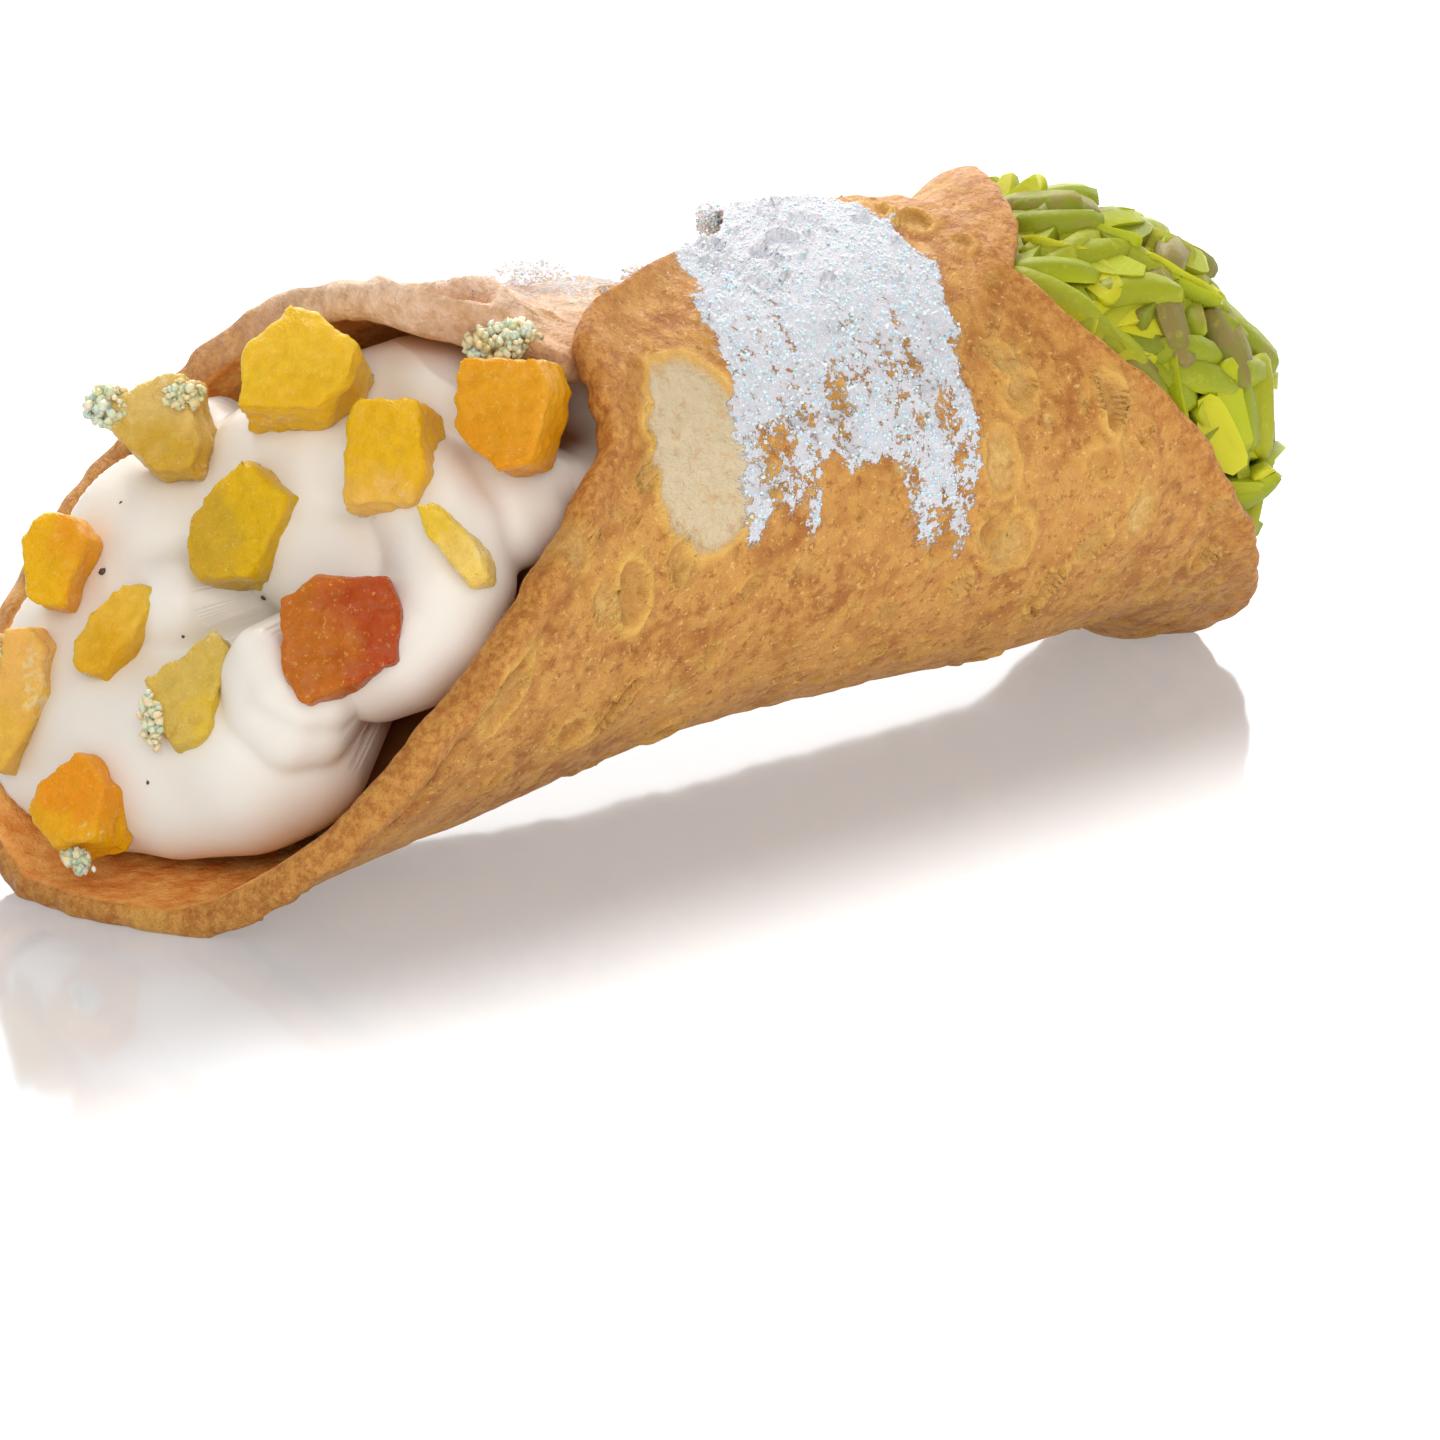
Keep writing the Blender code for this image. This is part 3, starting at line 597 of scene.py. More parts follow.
def floor_look():
    """A pale glossy table with painted light: it glows faintly under the object, fully in front of
    it.
    """
    look = Look("floor_look", Roughness=0.10, IOR=2.0)
    towards = look.node("ShaderNodeSeparateXYZ", {0: look.place}).outputs["Y"]
    near, far = FLOOR_GLOW_SPAN
    look.set(Emission_Strength=look.span(towards, near, far, 1.0, FLOOR_GLOW))
    look.shader.inputs["Emission Color"].default_value = (1, 1, 1, 1)
    look.set(Base_Color=look.mix(look.noise(400), srgb(150, 149, 151), srgb(154, 153, 155)))
    return look.material


# ---------------------------------------------------------------- dough

def tube_radius(x, angle):
    """The radius that both flaps share: tongues, a swollen belly and a dip on top."""
    flare_left = swelling(angle, LEFT_FLARE) * onset(-x, LEFT_FLARE_RUN)
    flare_right = swelling(angle, RIGHT_FLARE) * onset(x, RIGHT_FLARE_RUN)
    belly = swelling(angle, BELLY) * hump(x, BELLY_RUN)
    dip = swelling(angle, DIP) * hump(x, DIP_RUN)
    return WRAP_RADIUS + flare_left + flare_right + belly - dip


def flap_lift(angle):
    """How far the near flap stands off the circle to clear the far flap."""
    return (DOUGH + LAYER_GAP) * smooth((angle - LIFT_START) / (LIFT_END - LIFT_START))


def big_blister(x, angle, centre_x, centre_angle, size, rise, sink):
    """A burst bubble: a raised ring round a shallow dish (sizes in millimetres)."""
    round_it = np.radians(angle - centre_angle) * WRAP_RADIUS / MM
    away = np.hypot(x / MM - centre_x, round_it)
    ring = rise * np.exp(-((away - size) / (0.38 * size)) ** 2)
    return (ring - sink * np.exp(-(away / (0.6 * size)) ** 2)) * MM


def curl(angle, from_rim, form):
    """A rise towards a rim, on one side of the tube."""
    *where, length = form
    return swelling(angle, where) * hump(from_rim, (0, length))


def sheet_radius(x, angle):
    """Radius of the middle of the dough."""
    from_left = np.maximum(x + left_reach(angle), 0)
    from_right = np.maximum(right_reach(angle) - x, 0)
    turn_height, turn_length = LEFT_TURN
    radius = tube_radius(x, angle) + flap_lift(angle)
    radius = radius + turn_height * MM * hump(from_left, (0, turn_length))
    far_side = curl(angle, from_left, LEFT_CURL) + curl(angle, from_right, RIGHT_CURL)
    for form in BIG_BLISTERS:
        far_side = far_side + big_blister(x, angle, *form)
    return radius + np.where(angle < FAR_SIDE, far_side, 0)


def around(x, radius, angle):
    """Points at a distance from the tube's axis; angles in degrees."""
    turn = np.radians(angle)
    return np.stack([x, -radius * np.sin(turn), AXIS_HEIGHT - radius * np.cos(turn)], -1)


def covered(x, angle):
    """1 where the far flap lies under the near flap."""
    under = x + left_reach(angle + 360)
    return np.where(angle < -LAP, smooth(under / (2 * MM) + 1), 0)


def oval(x, angle, spot):
    """Distance from a blister's middle, 1 at its ring."""
    centre_x, centre_angle, half_length, half_width, turn = spot
    along = x / MM - centre_x
    over = np.radians(angle - centre_angle) * WRAP_RADIUS * 1.06 / MM
    cos, sin = np.cos(np.radians(turn)), np.sin(np.radians(turn))
    return np.hypot((along * cos + over * sin) / half_length,
                    (over * cos - along * sin) / half_width)


def small_blisters():
    """Further blisters of the whole sheet, in the form of BLISTERS."""
    rng = np.random.default_rng(21)
    spots = []
    for _ in range(SMALL_BLISTERS):
        angle = rng.uniform(FAR_EDGE, NEAR_EDGE)
        low, high = -left_reach(angle) / MM + 2, right_reach(angle) / MM - 2
        size = SMALL_SIZES[0] + (SMALL_SIZES[1] - SMALL_SIZES[0]) * rng.uniform() ** 2.2
        spots.append((rng.uniform(low, high), angle, size, size * rng.uniform(0.8, 1.6),
                      rng.uniform(-50, 50), rng.uniform(0.06, 0.22) * size ** 0.5,
                      rng.uniform(0.05, 0.28) * size ** 0.5, rng.uniform(-0.4, 0.9)))
    return spots


ALL_BLISTERS = BLISTERS + small_blisters()


def blister_relief(x, angle, wobble):
    """Height, ring, painted shade of the dish and paleness of the blisters at each point."""
    height, ring, dish, pale = (np.zeros(x.shape) for _ in range(4))
    for *spot, rise, sink, paleness in ALL_BLISTERS:
        reach = 1.8 * max(spot[2:4])
        near = (np.abs(x / MM - spot[0]) < reach) & (
            np.abs(np.radians(angle - spot[1])) * WRAP_RADIUS / MM < reach)
        if not near.any():
            continue
        away = oval(x[near], angle[near], spot) + 0.22 * wobble[near]
        here = np.exp(-((away - 1) / 0.18) ** 2)
        inner = 1 - step_between(0.55, 0.95, away)
        height[near] += 1.7 * rise * here - 1.3 * sink * inner
        ring[near] = np.maximum(ring[near], here * min(1, 2.5 * rise))
        # painted shade in the dish, darker where it sinks more
        dish[near] = np.maximum(dish[near], inner * min(1, 1.6 * sink + 0.1))
        pale[near] = np.maximum(pale[near], inner * max(paleness, 0))
    return height * MM, ring, dish, pale


def pale_patch(x, angle, wobble):
    """The patch of bare smooth skin: 1 inside, and a ring of 1 round its edge."""
    away = oval(x, angle, (*PALE_PATCH, 0)) + 0.10 * wobble
    inside = 1 - step_between(0.90, 1.0, away)
    return inside, np.exp(-((away - 1.02) / 0.07) ** 2)


def open_blister(x, angle, wobble):
    """The big open blister of the far flap: 1 in its dish, and 1 round its edge."""
    away = oval(x, angle, (*OPEN_BLISTER, 0)) + 0.07 * wobble
    return 1 - step_between(0.62, 0.82, away), np.exp(-((away - 1.0) / 0.17) ** 2)


def sugar_cover(x, angle, points):
    """How thickly the icing sugar lies, from 0 to 1."""
    across = x / MM
    ragged = 1.1 * cloud(points, 2.2 * MM, 3)
    left = across - between(SUGAR_LEFT, angle) + ragged
    right = between(SUGAR_RIGHT, angle) - across + ragged
    low = (angle - between(SUGAR_LOW, across)) / 2.9 + 1.6 * ragged
    edge = np.minimum(np.minimum(left, right), low)
    wrapped = np.stack([x / 1.3, np.radians(angle) * WRAP_RADIUS / 4.5, 0 * x], -1)
    streaks = cloud(wrapped, MM, 4) + 0.5 * cloud(points, 1.4 * MM, 15)
    firm = between([(80, 0.52), (100, 0.60), (122, 0.68), (145, 0.86), (160, 0.97)], angle)
    cover = step_between(-0.6, 1.4, edge) * (firm + (1.05 - firm) * streaks)
    return np.where(angle > 0, np.clip(cover, 0, 1), 0)


def far_sugar(x, angle, points):
    """The thin dust on the far flap behind the near one."""
    band = np.exp(-((x / MM + 13) / 13) ** 2) * bell(angle, -168, 26)
    return np.where(angle < 0, 0.66 * band + 0.35 * cloud(points, 1.8 * MM, 6) * band, 0)


def relief(x, angle, points):
    """Height of the outer skin over the plain sheet, and the masks its colours need."""
    wobble = cloud(points, 1.5 * MM, 1)
    height, ring, dish, pale = blister_relief(x, angle, wobble)
    patch, patch_edge = pale_patch(x, angle, wobble)
    bare = 1 - patch
    height = height * bare + (0.18 * patch_edge - 0.15 * patch) * MM
    height = height + 0.34 * MM * cloud(points, 9 * MM, 2) * bare
    height = height + (0.17 * cloud(points, 2.4 * MM, 5) + 0.11 * wobble) * MM * bare
    from_left = (x + left_reach(angle)) / MM
    from_right = (right_reach(angle) - x) / MM
    rim = np.exp(-(np.minimum(from_left, from_right) / 2.6) ** 2)
    lip_height, lip_length = LIP
    lip = np.exp(-(np.minimum(from_left, from_right) / lip_length) ** 2)
    height = height + lip_height * MM * lip * (1 - step_between(*LIP_END, angle))
    place, width, depth = LIP_GROOVE
    # The groove is sunk and also painted dark as painted shade.
    shaded_groove = np.exp(-((from_left - place) / width) ** 2) * bell(angle, 25, 60)
    height = height - depth * MM * shaded_groove
    frill = np.exp(-((from_left - 3.5) / 3.0) ** 2) * bell(angle, 40, 70)
    height = height + 0.75 * MM * frill * cloud(points, 1.3 * MM, 8)
    sugar = np.maximum(sugar_cover(x, angle, points), far_sugar(x, angle, points))
    height = height + sugar * (0.22 + 0.16 * cloud(points, 0.8 * MM, 9)) * MM
    burst, burst_edge = open_blister(x, angle, wobble)
    height = height + (1.1 * burst_edge - 1.3 * burst) * MM
    height = height * (1 - covered(x, angle))
    # painted light on the top of the far flap
    top = bell(angle, -178, 36) * step_between(-4, -16, x / MM) * (angle < 0)
    masks = {"ring": np.clip(ring * bare + 0.9 * patch_edge, 0, 1), "dish": dish * bare * 0.8,
             "pale": patch, "light": 0.8 * pale * bare, "rim": 0.8 * rim,
             "top": 0.95 * top, "sugar": sugar, "shaded_groove": shaded_groove, "burst": burst}
    return height, masks


def inner_relief(points):
    return (0.25 * cloud(points, 6 * MM, 10) + 0.12 * cloud(points, 2 * MM, 11)) * MM


def sheet_grid(lines, steps):
    """x and angle of the sheet's grid."""
    angle = np.linspace(FAR_EDGE, NEAR_EDGE, lines + 1)
    share = np.linspace(0, 1, steps + 1)
    share = (share + smooth(share)) / 2
    angle, share = np.meshgrid(angle, share, indexing="ij")
    return -left_reach(angle) + (left_reach(angle) + right_reach(angle)) * share, angle


def on_table(points, lowest):
    points[..., 2] = np.maximum(points[..., 2], lowest)
    return points


def outer_skin(x, angle):
    plain = around(x, sheet_radius(x, angle) + DOUGH / 2, angle)
    height, masks = relief(x, angle, plain)
    return on_table(around(x, sheet_radius(x, angle) + DOUGH / 2 + height, angle), 0), masks


def border(rows):
    """The numbers round the edge of a grid, in order."""
    return np.concatenate([rows[0], rows[1:, -1], rows[-1, -2::-1], rows[-2:0:-1, 0]])


def rim_loops(outer, x, angle):
    """Loops round the thickness of the sheet's edge, from the outer face to the inner."""
    numbers = np.arange(x.size).reshape(x.shape)
    edge = border(numbers)
    x, angle, outer = x.ravel()[edge], angle.ravel()[edge], outer.reshape(-1, 3)[edge]
    out_x = np.where(x < 0, -1.0, 1.0)
    on_end = np.isin(edge, numbers[:, [0, -1]])
    out_angle = np.where(angle == FAR_EDGE, -1.0, np.where(angle == NEAR_EDGE, 1.0, 0.0))
    height = np.hypot(outer[:, 1], outer[:, 2] - AXIS_HEIGHT) - sheet_radius(x, angle)
    loops = []
    for turn in np.linspace(0, np.pi, RIM_STEPS + 1)[1:-1]:
        spread = RIM_ROUND * np.sin(turn) * (1 + 0.5 * cloud(outer, 2.5 * MM, 12))
        side = np.cos(turn)
        loop_x = x + out_x * on_end * spread
        loop_angle = angle + out_angle * np.degrees(spread / WRAP_RADIUS)
        thick = np.where(side > 0, height, DOUGH / 2)
        radius = sheet_radius(loop_x, loop_angle) + side * thick
        radius = radius + 0.12 * MM * cloud(outer + turn * MM, 1.1 * MM, 13)
        lowest = (1 - side) * DOUGH / 2
        loops.append(on_table(around(loop_x, radius, loop_angle), lowest))
    return loops


def make_shell():
    x, angle = sheet_grid(DOUGH_LINES, SHEET_STEPS)
    outer, masks = outer_skin(x, angle)
    loops = rim_loops(outer, x, angle)
    inner_x, inner_angle = x[::INNER_SHARE, ::INNER_SHARE], angle[::INNER_SHARE, ::INNER_SHARE]
    middle = sheet_radius(inner_x, inner_angle)
    plain = around(inner_x, middle - DOUGH / 2, inner_angle)
    inner = on_table(around(inner_x, middle - DOUGH / 2 - inner_relief(plain), inner_angle),
                     DOUGH)
    points = np.vstack([outer.reshape(-1, 3), *loops, inner.reshape(-1, 3)])
    outer_rows = np.arange(outer[..., 0].size).reshape(x.shape)
    round_it = border(outer_rows)
    inner_first = outer_rows.size + len(loops) * len(round_it)
    inner_rows = inner_first + np.arange(inner_x.size).reshape(inner_x.shape)
    rings = [round_it]
    for i in range(len(loops)):
        rings.append(outer_rows.size + i * len(round_it) + np.arange(len(round_it)))
    closed = np.array([np.append(ring, ring[0]) for ring in rings])
    faces = grid_faces(outer_rows) + grid_faces(inner_rows) + grid_faces(closed)
    faces += stitch(rings[-1], border(inner_rows))
    shell = new_piece("fried_dough", points, faces, dough_look(), ["shell"])
    rest = len(points) - outer_rows.size
    for name, mask in masks.items():
        edge = mask.ravel()[round_it]
        on_loops = np.tile(edge, len(loops))
        set_attribute(shell, name, np.concatenate([
            mask.ravel(), on_loops, np.zeros(inner_rows.size)]))
    # the inner face, which the material paints brighter as painted light
    inside = np.concatenate([np.zeros(len(points) - inner_rows.size), np.ones(inner_rows.size)])
    set_attribute(shell, "inside", inside)
    return shell


def stitch(dense, coarse):
    """Faces between a loop and one with INNER_SHARE times fewer vertices."""
    faces = []
    dense = np.append(dense, dense[0]).tolist()
    coarse = np.append(coarse, coarse[0]).tolist()
    for i in range(len(coarse) - 1):
        a, b, c, d = dense[INNER_SHARE * i:INNER_SHARE * i + 4]
        low, high = coarse[i], coarse[i + 1]
        faces += [(a, b, low), (b, c, high, low), (c, d, high)]
    return faces


# ---------------------------------------------------------------- cream

def cream_wall(x, angle):
    """The cream lies against the dough's inner face."""
    follow = flap_lift(angle) * (1 - smooth((angle - FOLLOW_END) / FOLLOW_FADE))
    crevice = swelling(angle, CREVICE) * hump(x, CREVICE_RUN)
    return tube_radius(x, angle) + follow - crevice - DOUGH / 2 - 0.1 * MM


def outside_wall(points):
    """Distance past the cream's wall, negative inside."""
    y, z = points[..., 1], points[..., 2] - AXIS_HEIGHT
    return np.hypot(y, z) - cream_wall(points[..., 0], np.degrees(np.arctan2(-y, -z)))


def soft_union(a, b, width):
    mix = np.clip(0.5 + 0.5 * (b - a) / width, 0, 1)
    return b * (1 - mix) + a * mix - width * mix * (1 - mix)


def strand(points, line, radius):
    """Distance from a piped strand whose top passes through the points of a line."""
    line = np.array(line) * MM - MOUTH_OUT * radius * MM
    nearest = np.inf
    for start, end in zip(line[:-1], line[1:]):
        along = end - start
        share = np.clip((points - start) @ along / (along @ along), 0, 1)
        away = np.linalg.norm(points - start - share[..., None] * along, axis=-1)
        nearest = np.minimum(nearest, away)
    return nearest - radius * MM


def mouth_field(points):
    """Distance from the piped cream of the left mouth, negative inside."""
    field = (points - MOUTH_POINT) @ MOUTH_OUT + FILL_DEPTH
    for line, radius, crease in LOBES:
        field = soft_union(field, strand(points, line, radius), crease * MM)
    return np.maximum(field, outside_wall(points))


def dome_field(points, radii):
    """Distance from the leaning dome of the right end, a tube up to its middle."""
    local = points - DOME_CENTRE
    local[..., 0] = np.maximum(local[..., 0] + DOME_LEAN * local[..., 2], 0)
    return (np.linalg.norm(local / radii, axis=-1) - 1) * radii[1]


def core_field(points):
    return np.maximum(dome_field(points, CORE_RADII), outside_wall(points))


def heap_field(points):
    return np.maximum(dome_field(points, COAT_RADII), outside_heap(points))


def outside_heap(points):
    """Inside the rim the heap keeps to the wall; past it, it swells out."""
    y, z = points[..., 1], points[..., 2] - AXIS_HEIGHT
    angle = np.degrees(np.arctan2(-y, -z))
    rim = right_reach(np.where(angle > LAP, angle - 360, angle))
    return outside_wall(points) - 1.2 * np.maximum(points[..., 0] - rim - 2 * MM, 0)


SEARCH = np.linspace(2, 60, 80) * MM
HALVINGS = 14


def reach(centre, ways, field):
    """How far the field's outermost surface lies from the centre along each way."""
    low = np.full(ways.shape[:-1], SEARCH[0])
    high = np.full(ways.shape[:-1], SEARCH[1])
    inside = field(centre + ways * SEARCH[0]) < 0
    for near, far in zip(SEARCH[:-1], SEARCH[1:]):
        was_inside, inside = inside, field(centre + ways * far) < 0
        leaves = was_inside & ~inside
        low[leaves], high[leaves] = near, far
    for _ in range(HALVINGS):
        middle = (low + high) / 2
        inside = field(centre + ways * middle[..., None]) < 0
        low = np.where(inside, middle, low)
        high = np.where(inside, high, middle)
    return low


def ways(polar, angle, towards):
    """Unit vectors: polar is the angle off the X axis, towards is 1 for +X, -1 for -X."""
    polar, angle = np.radians(polar), np.radians(angle)
    return np.stack([towards * np.cos(polar), -np.sin(polar) * np.sin(angle),
                     -np.sin(polar) * np.cos(angle)], -1)


def cap_points(centre_x, rings, lines, towards, field):
    """Rings of points round one end of the cream, the outermost ring last, and its tip."""
    centre = np.array([centre_x, 0, AXIS_HEIGHT])
    polar = np.linspace(0, 90, rings + 1)[1:]
    round_it = np.linspace(-180, 180, lines, endpoint=False)
    polar, angle = np.meshgrid(polar, round_it, indexing="ij")
    out = ways(polar, angle, towards)
    tip = ways(np.zeros(1), np.zeros(1), towards)
    ring_points = centre + out * reach(centre, out, field)[..., None]
    return ring_points, (centre + tip * reach(centre, tip, field)[..., None])[0]


def cream_shade(points):
    """Painted shade: 1 where the cream lies deep behind the others or in the crevice, else 0."""
    depth = (MOUTH_POINT - points) @ MOUTH_OUT / MM
    angle = np.degrees(np.arctan2(-points[:, 1], AXIS_HEIGHT - points[:, 2]))
    _, *where = CREVICE
    crevice = bell(angle, *where) * hump(points[:, 0], CREVICE_RUN)
    left = step_between(CREAM_LEFT + 2 * MM, CREAM_LEFT - 2 * MM, points[:, 0])
    return np.maximum(step_between(*SHADY, depth) * left, step_between(0.3, 0.8, crevice))


CREAM_LINES = 360
MOUTH_RINGS = 190
TUBE_RINGS = 24
DOME_RINGS = 60


def make_cream():
    left, left_tip = cap_points(CREAM_LEFT, MOUTH_RINGS, CREAM_LINES, -1, mouth_field)
    right, right_tip = cap_points(CREAM_RIGHT, DOME_RINGS, CREAM_LINES, 1, core_field)
    x = np.linspace(CREAM_LEFT, CREAM_RIGHT, TUBE_RINGS + 2)[1:-1]
    round_it = np.linspace(-180, 180, CREAM_LINES, endpoint=False)
    x, angle = np.meshgrid(x, round_it, indexing="ij")
    tube = around(x, cream_wall(x, angle), angle)
    rings = np.concatenate([left, tube, right[::-1]])
    rings = rings + 0.10 * MM * cloud(rings, 4 * MM, 14)[..., None] * MOUTH_OUT
    points = np.vstack([rings.reshape(-1, 3), left_tip, right_tip])
    rows = np.arange(rings[..., 0].size).reshape(rings.shape[:2])
    closed = np.hstack([rows, rows[:, :1]])
    faces = grid_faces(closed)
    for tip, row in ((rows.size, closed[0]), (rows.size + 1, closed[-1])):
        faces += [(tip, a, b) for a, b in zip(row[:-1].tolist(), row[1:].tolist())]
    cream = new_piece("ricotta_cream", points, faces, cream_look(), ["cream"])
    set_attribute(cream, "cream_shade", cream_shade(points))
    return cream


# ---------------------------------------------------------------- fruit

# Colours of the pieces, on one side and on the other (screen values), how much crust they
# wear, and the side towards which the second colour lies
FRUIT_LOOKS = [((237, 183, 4), (246, 200, 42), 0.10, (0, 0, 1)),
               ((242, 187, 4), (248, 195, 101), 0.20, (0, 0, -1)),
               ((231, 153, 0), (237, 168, 21), 0.10, (0, 0, 1)),
               ((242, 200, 52), (252, 214, 116), 0.25, (0, -1, 0)),
               ((233, 187, 0), (212, 168, 38), 0.06, (-0.6, 0.8, -0.3)),
               ((200, 111, 17), (181, 61, 4), 0.0, (0.8, -0.6, 0.1)),
               ((218, 172, 52), (235, 202, 116), 0.40, (0, 0, 1)),
               ((248, 189, 0), (242, 158, 17), 0.10, (0.8, -0.6, 0)),
               ((235, 176, 4), (248, 197, 63), 0.16, (0, 0, 1)),
               ((223, 189, 88), (237, 195, 32), 0.40, (0.5, -0.4, -0.6)),
               ((246, 195, 74), (252, 193, 101), 0.30, (0, 0, 1)),
               ((246, 178, 0), (246, 153, 0), 0.05, (0, 0, 1))]


def fruit_hull(outline, thickness, rng):
    """A cut piece: the hull of its outline, front and back, with stray corners."""
    bm = bmesh.new()
    for depth, scale in zip(FRUIT_DEPTHS, (FRUIT_FRONT, 1.0)):
        for right, up in outline:
            corner = np.array([right * scale, up * scale, depth * thickness]) * MM
            bm.verts.new(Vector(corner + rng.uniform(-1, 1, 3) * FRUIT_STRAY))
    bmesh.ops.convex_hull(bm, input=bm.verts[:])
    inside = [corner for corner in bm.verts if not corner.link_faces]
    bmesh.ops.delete(bm, geom=inside, context="VERTS")
    return bm


def fruit_place(number, centre):
    lean = np.random.default_rng(LEAN_SEED + number).uniform(-FRUIT_TILT, FRUIT_TILT, 3)
    facing = (FRUIT_FACING + Vector(lean)).to_track_quat("Z", "Y")
    return Matrix.Translation(Vector(np.array(centre) * MM)) @ facing.to_matrix().to_4x4()


def remeshed(bm, voxel):
    """The solid as an even fine mesh: its points, normals and faces."""
    mesh = bpy.data.meshes.new("rough")
    bm.to_mesh(mesh)
    rough = bpy.data.objects.new("rough", mesh)
    bpy.context.scene.collection.objects.link(rough)
    remesh = rough.modifiers.new("remesh", "REMESH")
    remesh.mode = "VOXEL"
    remesh.voxel_size = voxel
    soften = rough.modifiers.new("soften", "SMOOTH")
    soften.iterations = 1
    fine = rough.evaluated_get(bpy.context.evaluated_depsgraph_get()).to_mesh()
    points = np.array([v.co for v in fine.vertices])
    normals = np.array([v.normal for v in fine.vertices])
    faces = [tuple(p.vertices) for p in fine.polygons]
    bpy.data.objects.remove(rough)
    return points, normals, faces


def make_fruit(number, centre, thickness, outline):
    """One candied piece: cut faces, uneven and pitted."""
    main, second, frost, side = FRUIT_LOOKS[number - 1]
    bm = fruit_hull(outline, thickness, np.random.default_rng(number))
    bm.transform(fruit_place(number, centre))
    points, normals, faces = remeshed(bm, FRUIT_VOXEL)
    bm.free()
    lumps = 0.24 * cloud(points, 2.4 * MM, number) + 0.22 * cloud(points, 0.9 * MM, number + 20)
    points = points + normals * (lumps * MM)[:, None]
    name = f"candied_fruit_{number:02d}"
    piece = new_piece(name + "_look", points, faces, fruit_look(name + "_skin", main, second, frost),
                      [name])
    away = (points - points.mean(0)) @ np.array(side, float)
    set_attribute(piece, "side", 0.5 + away / np.ptp(away))
    crust = 0.5 + 0.5 * cloud(points, 3.5 * MM, number + 40)
    set_attribute(piece, "crust", crust)
    return piece


# ---------------------------------------------------------------- scattered things

def grain_shape():
    """A unit lump: an icosahedron's points and faces."""
    bm = bmesh.new()
    bmesh.ops.create_icosphere(bm, subdivisions=1, radius=1)
    points = np.array([v.co for v in bm.verts])
    faces = np.array([[v.index for v in f.verts] for f in bm.faces])
    bm.free()
    return points, faces


def turned(rng):
    """A random rotation."""
    spin, _ = np.linalg.qr(rng.normal(size=(3, 3)))
    return spin * np.linalg.det(spin)


def scatter(name, centres, sizes, seed, look):
    """Uneven lumps at the given places, all in one mesh."""
    rng = np.random.default_rng(seed)
    shape, triangles = grain_shape()
    points, faces = [], []
    for number, (centre, size) in enumerate(zip(centres, sizes)):
        uneven = shape * rng.uniform(0.6, 1.2, (len(shape), 1)) * rng.uniform(0.7, 1.2, 3)
        points.append(centre + (uneven @ turned(rng)) * size)
        faces.append(triangles + number * len(shape))
    return new_piece(name, np.vstack(points), np.vstack(faces).tolist(), look)


def make_sugar():
    """Grains of icing sugar where it lies thickest and round its edges."""
    rng = np.random.default_rng(31)
    x = rng.uniform(-17, 18, 60 * SUGAR_GRAINS) * MM
    angle = rng.uniform(70, NEAR_EDGE, x.size)
    keep = x > -left_reach(angle)
    x, angle = x[keep], angle[keep]
    plain = around(x, sheet_radius(x, angle) + DOUGH / 2, angle)
    cover = sugar_cover(x, angle, plain)
    keep = rng.uniform(0, 1, x.size) < step_between(0.35, 0.9, cover)
    x, angle = x[keep][:SUGAR_GRAINS], angle[keep][:SUGAR_GRAINS]
    places, _ = outer_skin(x, angle)
    sizes = MM * (SUGAR_SIZES[0] + (SUGAR_SIZES[1] - SUGAR_SIZES[0]) * rng.uniform(0, 1, len(x)) ** 2)
    more_places, more_sizes = clumps(CLUMPS, SUGAR_SIZES, rng)
    return scatter("icing_sugar", np.vstack([places, more_places]),
                   np.concatenate([sizes, more_sizes]), 32, sugar_look())


def clumps(forms, size_span, rng):
    """Places and sizes of the lumps of some loose heaps."""
    places, sizes = [], []
    for centre, half, count in forms:
        spread = rng.normal(size=(count, 3))
        spread = spread / np.linalg.norm(spread, axis=1)[:, None]
        spread = spread * rng.uniform(0, 1, (count, 1)) ** 0.5
        places.append((np.array(centre) + spread * half) * MM)
        sizes.append(rng.uniform(*size_span, count) * MM)
    return np.vstack(places), np.concatenate(sizes)


def make_frosting():
    """Coarse sugar crystals in clumps on and beside the fruit."""
    places, sizes = clumps(FROSTING, FROSTING_SIZES, np.random.default_rng(61))
    return scatter("sugar_frosting", places, sizes, 62, frosting_look())


def make_specks():
    """Dark specks on the skin of the cream."""
    centre = np.array([CREAM_LEFT, 0, AXIS_HEIGHT])
    way = np.array([point for point, _ in SPECKS]) * MM - centre
    way = way / np.linalg.norm(way, axis=1)[:, None]
    places = centre + way * reach(centre, way, mouth_field)[:, None]
    sizes = np.array([size for _, size in SPECKS]) * MM
    return scatter("cream_specks", places, sizes, 41, speck_look())


